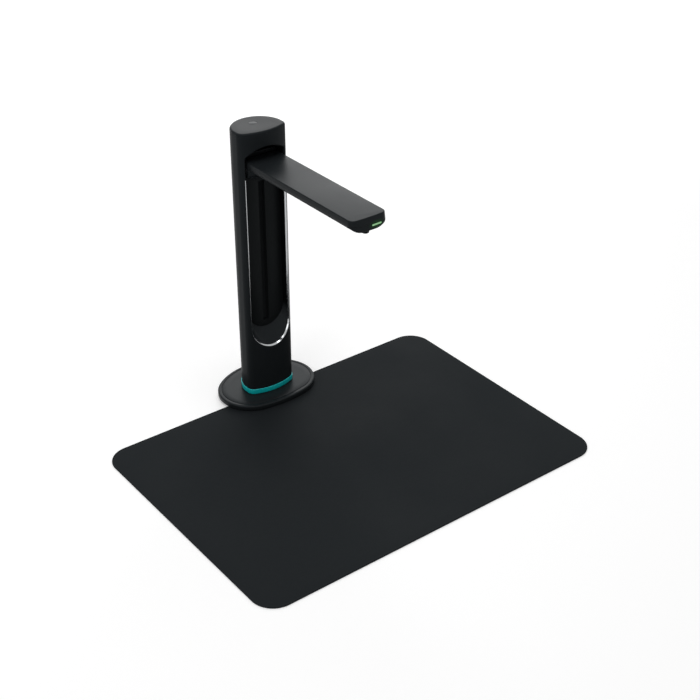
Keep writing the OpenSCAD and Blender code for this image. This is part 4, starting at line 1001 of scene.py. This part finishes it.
dressing = {
    # the recess liner wears painted shade on its walls and painted light in its finger scoop
    "rear_cover": (paint["shell"], 0.2), "recess_liner": (linerPaintedShadeSkin, 0.3),
    "recess_floor": (paint["floorPanel"], 0.3), "base_plate": (paint["inner"], 0.2),
    "ballast_plate": (metal["darkSteel"], 0.2), "front_feet": (paint["rubber"], 0.2),
    "rear_feet": (paint["rubber"], 0.4), "base_screws": (metal["steel"], 0.1),
    "column_screws": (metal["steel"], 0.1), "touch_disc": (paint["touch"], 0.15),
    "touch_board": (boardGreen, 0.1), "touch_screws": (metal["steel"], 0.1),
    "hinge_bracket": (metal["blackSteel"], 0.2), "bracket_screws": (metal["blackSteel"], 0.1),
    "hinge_shaft": (metal["steel"], 0.2), "main_board": (boardGreen, 0.1),
    "board_screws": (metal["steel"], 0.1), "processor": (paint["chip"], 0.15),
    "heat_sink": (metal["sink"], 0.15), "memory_chips": (paint["chip"], 0.1),
    "usb_shell": (metal["steel"], 0.05), "usb_tongue": (paint["chip"], 0.05),
    # the hinge bushes take the bronze darkened as painted shade
    "column_ribbon": (paint["ribbon"], 0.0), "hinge_bushes": (metal["bronzePaintedShade"], 0.15),
    "friction_sleeves": (metal["sleeve"], 0.1), "camera_board": (boardGreen, 0.1),
    "camera_screws": (metal["steel"], 0.1), "image_sensor": (paint["chip"], 0.1),
    "lens_holder": (paint["inner"], 0.2), "lens_barrel": (paint["inner"], 0.1),
    "lens_glass": (lensSkin, 0.0), "laser_module": (metal["brass"], 0.2),
    "laser_window": (laserSkin, 0.1), "lamp_diffuser": (paint["diffuser"], 0.1),
    "lamp_board": (boardWhite, 0.1), "lamp_leds": (paint["led"], 0.1),
    "status_led": (statusSkin, 0.1), "arm_screws": (metal["steel"], 0.1),
    "arm_ribbon": (paint["ribbon"], 0.0),
}
for name, (material, bevel) in dressing.items():
    dressNode(name, material, bevel)
print("nodes dressed:", len(dressing))

# floor, light and camera, in metres

stageLook = {"floor": 0.86, "rough": 0.9, "half": 6.0, "drop": 0.0002, "lift": 0.3, "sky": 0.3, "near": 0.8,
             "far": 1.9}


def seenRays(tree):
    # one for rays from the camera, off shiny faces and through glass, nought for the rest
    path = tree.nodes.new("ShaderNodeLightPath")
    value = path.outputs["Is Camera Ray"]
    for kind in ("Is Glossy Ray", "Is Transmission Ray"):
        most = tree.nodes.new("ShaderNodeMath")
        most.operation = "MAXIMUM"
        feed(most, 0, value)
        feed(most, 1, path.outputs[kind])
        value = most.outputs[0]
    return value


def floorMaterial(look):
    # white paper; away from the object it turns as white as the sky, so that no edge shows between them
    material, tree, shader, coords = newMaterial("floorPaper")
    feed(shader, "Base Color", (look["floor"],) * 3 + (1.0,))
    feed(shader, "Roughness", look["rough"])
    feed(shader, "Specular IOR Level", 0.0)
    feed(shader, "Emission Color", (1, 1, 1, 1))
    away = lengthNode(tree, coords.outputs["Object"])
    whiten = rangeNode(tree, away, look["lift"], 1.0, look["near"], look["far"], smooth=True)
    lift = tree.nodes.new("ShaderNodeMath")
    lift.operation = "MULTIPLY"
    feed(lift, 0, seenRays(tree))
    feed(lift, 1, whiten)
    feed(shader, "Emission Strength", lift.outputs[0])
    return material


floorMesh = bpy.data.meshes.new("floor")
floorCorners = [(x * stageLook["half"], y * stageLook["half"], -stageLook["drop"])
                for x, y in ((-1, -1), (1, -1), (1, 1), (-1, 1))]
floorMesh.from_pydata(floorCorners, [], [(0, 1, 2, 3)])
floorMesh.materials.append(floorMaterial(stageLook))
floor = bpy.data.objects.new("floor", floorMesh)
bpy.context.scene.collection.objects.link(floor)

world = bpy.data.worlds.new("studio")
bpy.context.scene.world = world
world.use_nodes = True
skyTree = world.node_tree
sky = skyTree.nodes["Background"]
feed(sky, "Color", (1, 1, 1, 1))
feed(sky, "Strength", rangeNode(skyTree, seenRays(skyTree), stageLook["sky"], 1.0, 0.0, 1.0))

lamps = {
    "overhead": {"at": (-0.1, 0.0, 1.9), "to": (0, 0, 0.1), "size": 1.2, "watts": 14.0},
    "backBox": {"at": (1.15, 1.55, 1.3), "to": (0, 0.05, 0.25), "size": 1.5, "watts": 17.0},
    "leftBox": {"at": (-1.7, -0.6, 0.9), "to": (0, 0, 0.15), "size": 1.0, "watts": 5.2},
}


def facing(aim):
    # the turn that points a lamp or camera along that direction
    return Vector(aim).to_track_quat("-Z", "Y").to_euler()


for name, lamp in lamps.items():
    data = bpy.data.lights.new(name, "AREA")
    data.shape = "SQUARE"
    data.size = lamp["size"]
    data.energy = lamp["watts"]
    light = bpy.data.objects.new(name, data)
    bpy.context.scene.collection.objects.link(light)
    light.location = lamp["at"]
    light.rotation_euler = facing((np.array(lamp["to"]) - np.array(lamp["at"])).tolist())

cameraLook = {"at": (-0.7539, -1.01075, 0.89734), "aim": (0.51796, 0.67728, -0.52250), "lens": 68.41,
              "sensor": 36.0}
cameraData = bpy.data.cameras.new("camera")
cameraData.lens = cameraLook["lens"]
cameraData.sensor_width = cameraLook["sensor"]
camera = bpy.data.objects.new("camera", cameraData)
bpy.context.scene.collection.objects.link(camera)
camera.location = cameraLook["at"]
camera.rotation_euler = facing(cameraLook["aim"])
bpy.context.scene.camera = camera
bpy.context.scene.view_settings.view_transform = "Standard"
print("stage set:", len(lamps), "lamps")
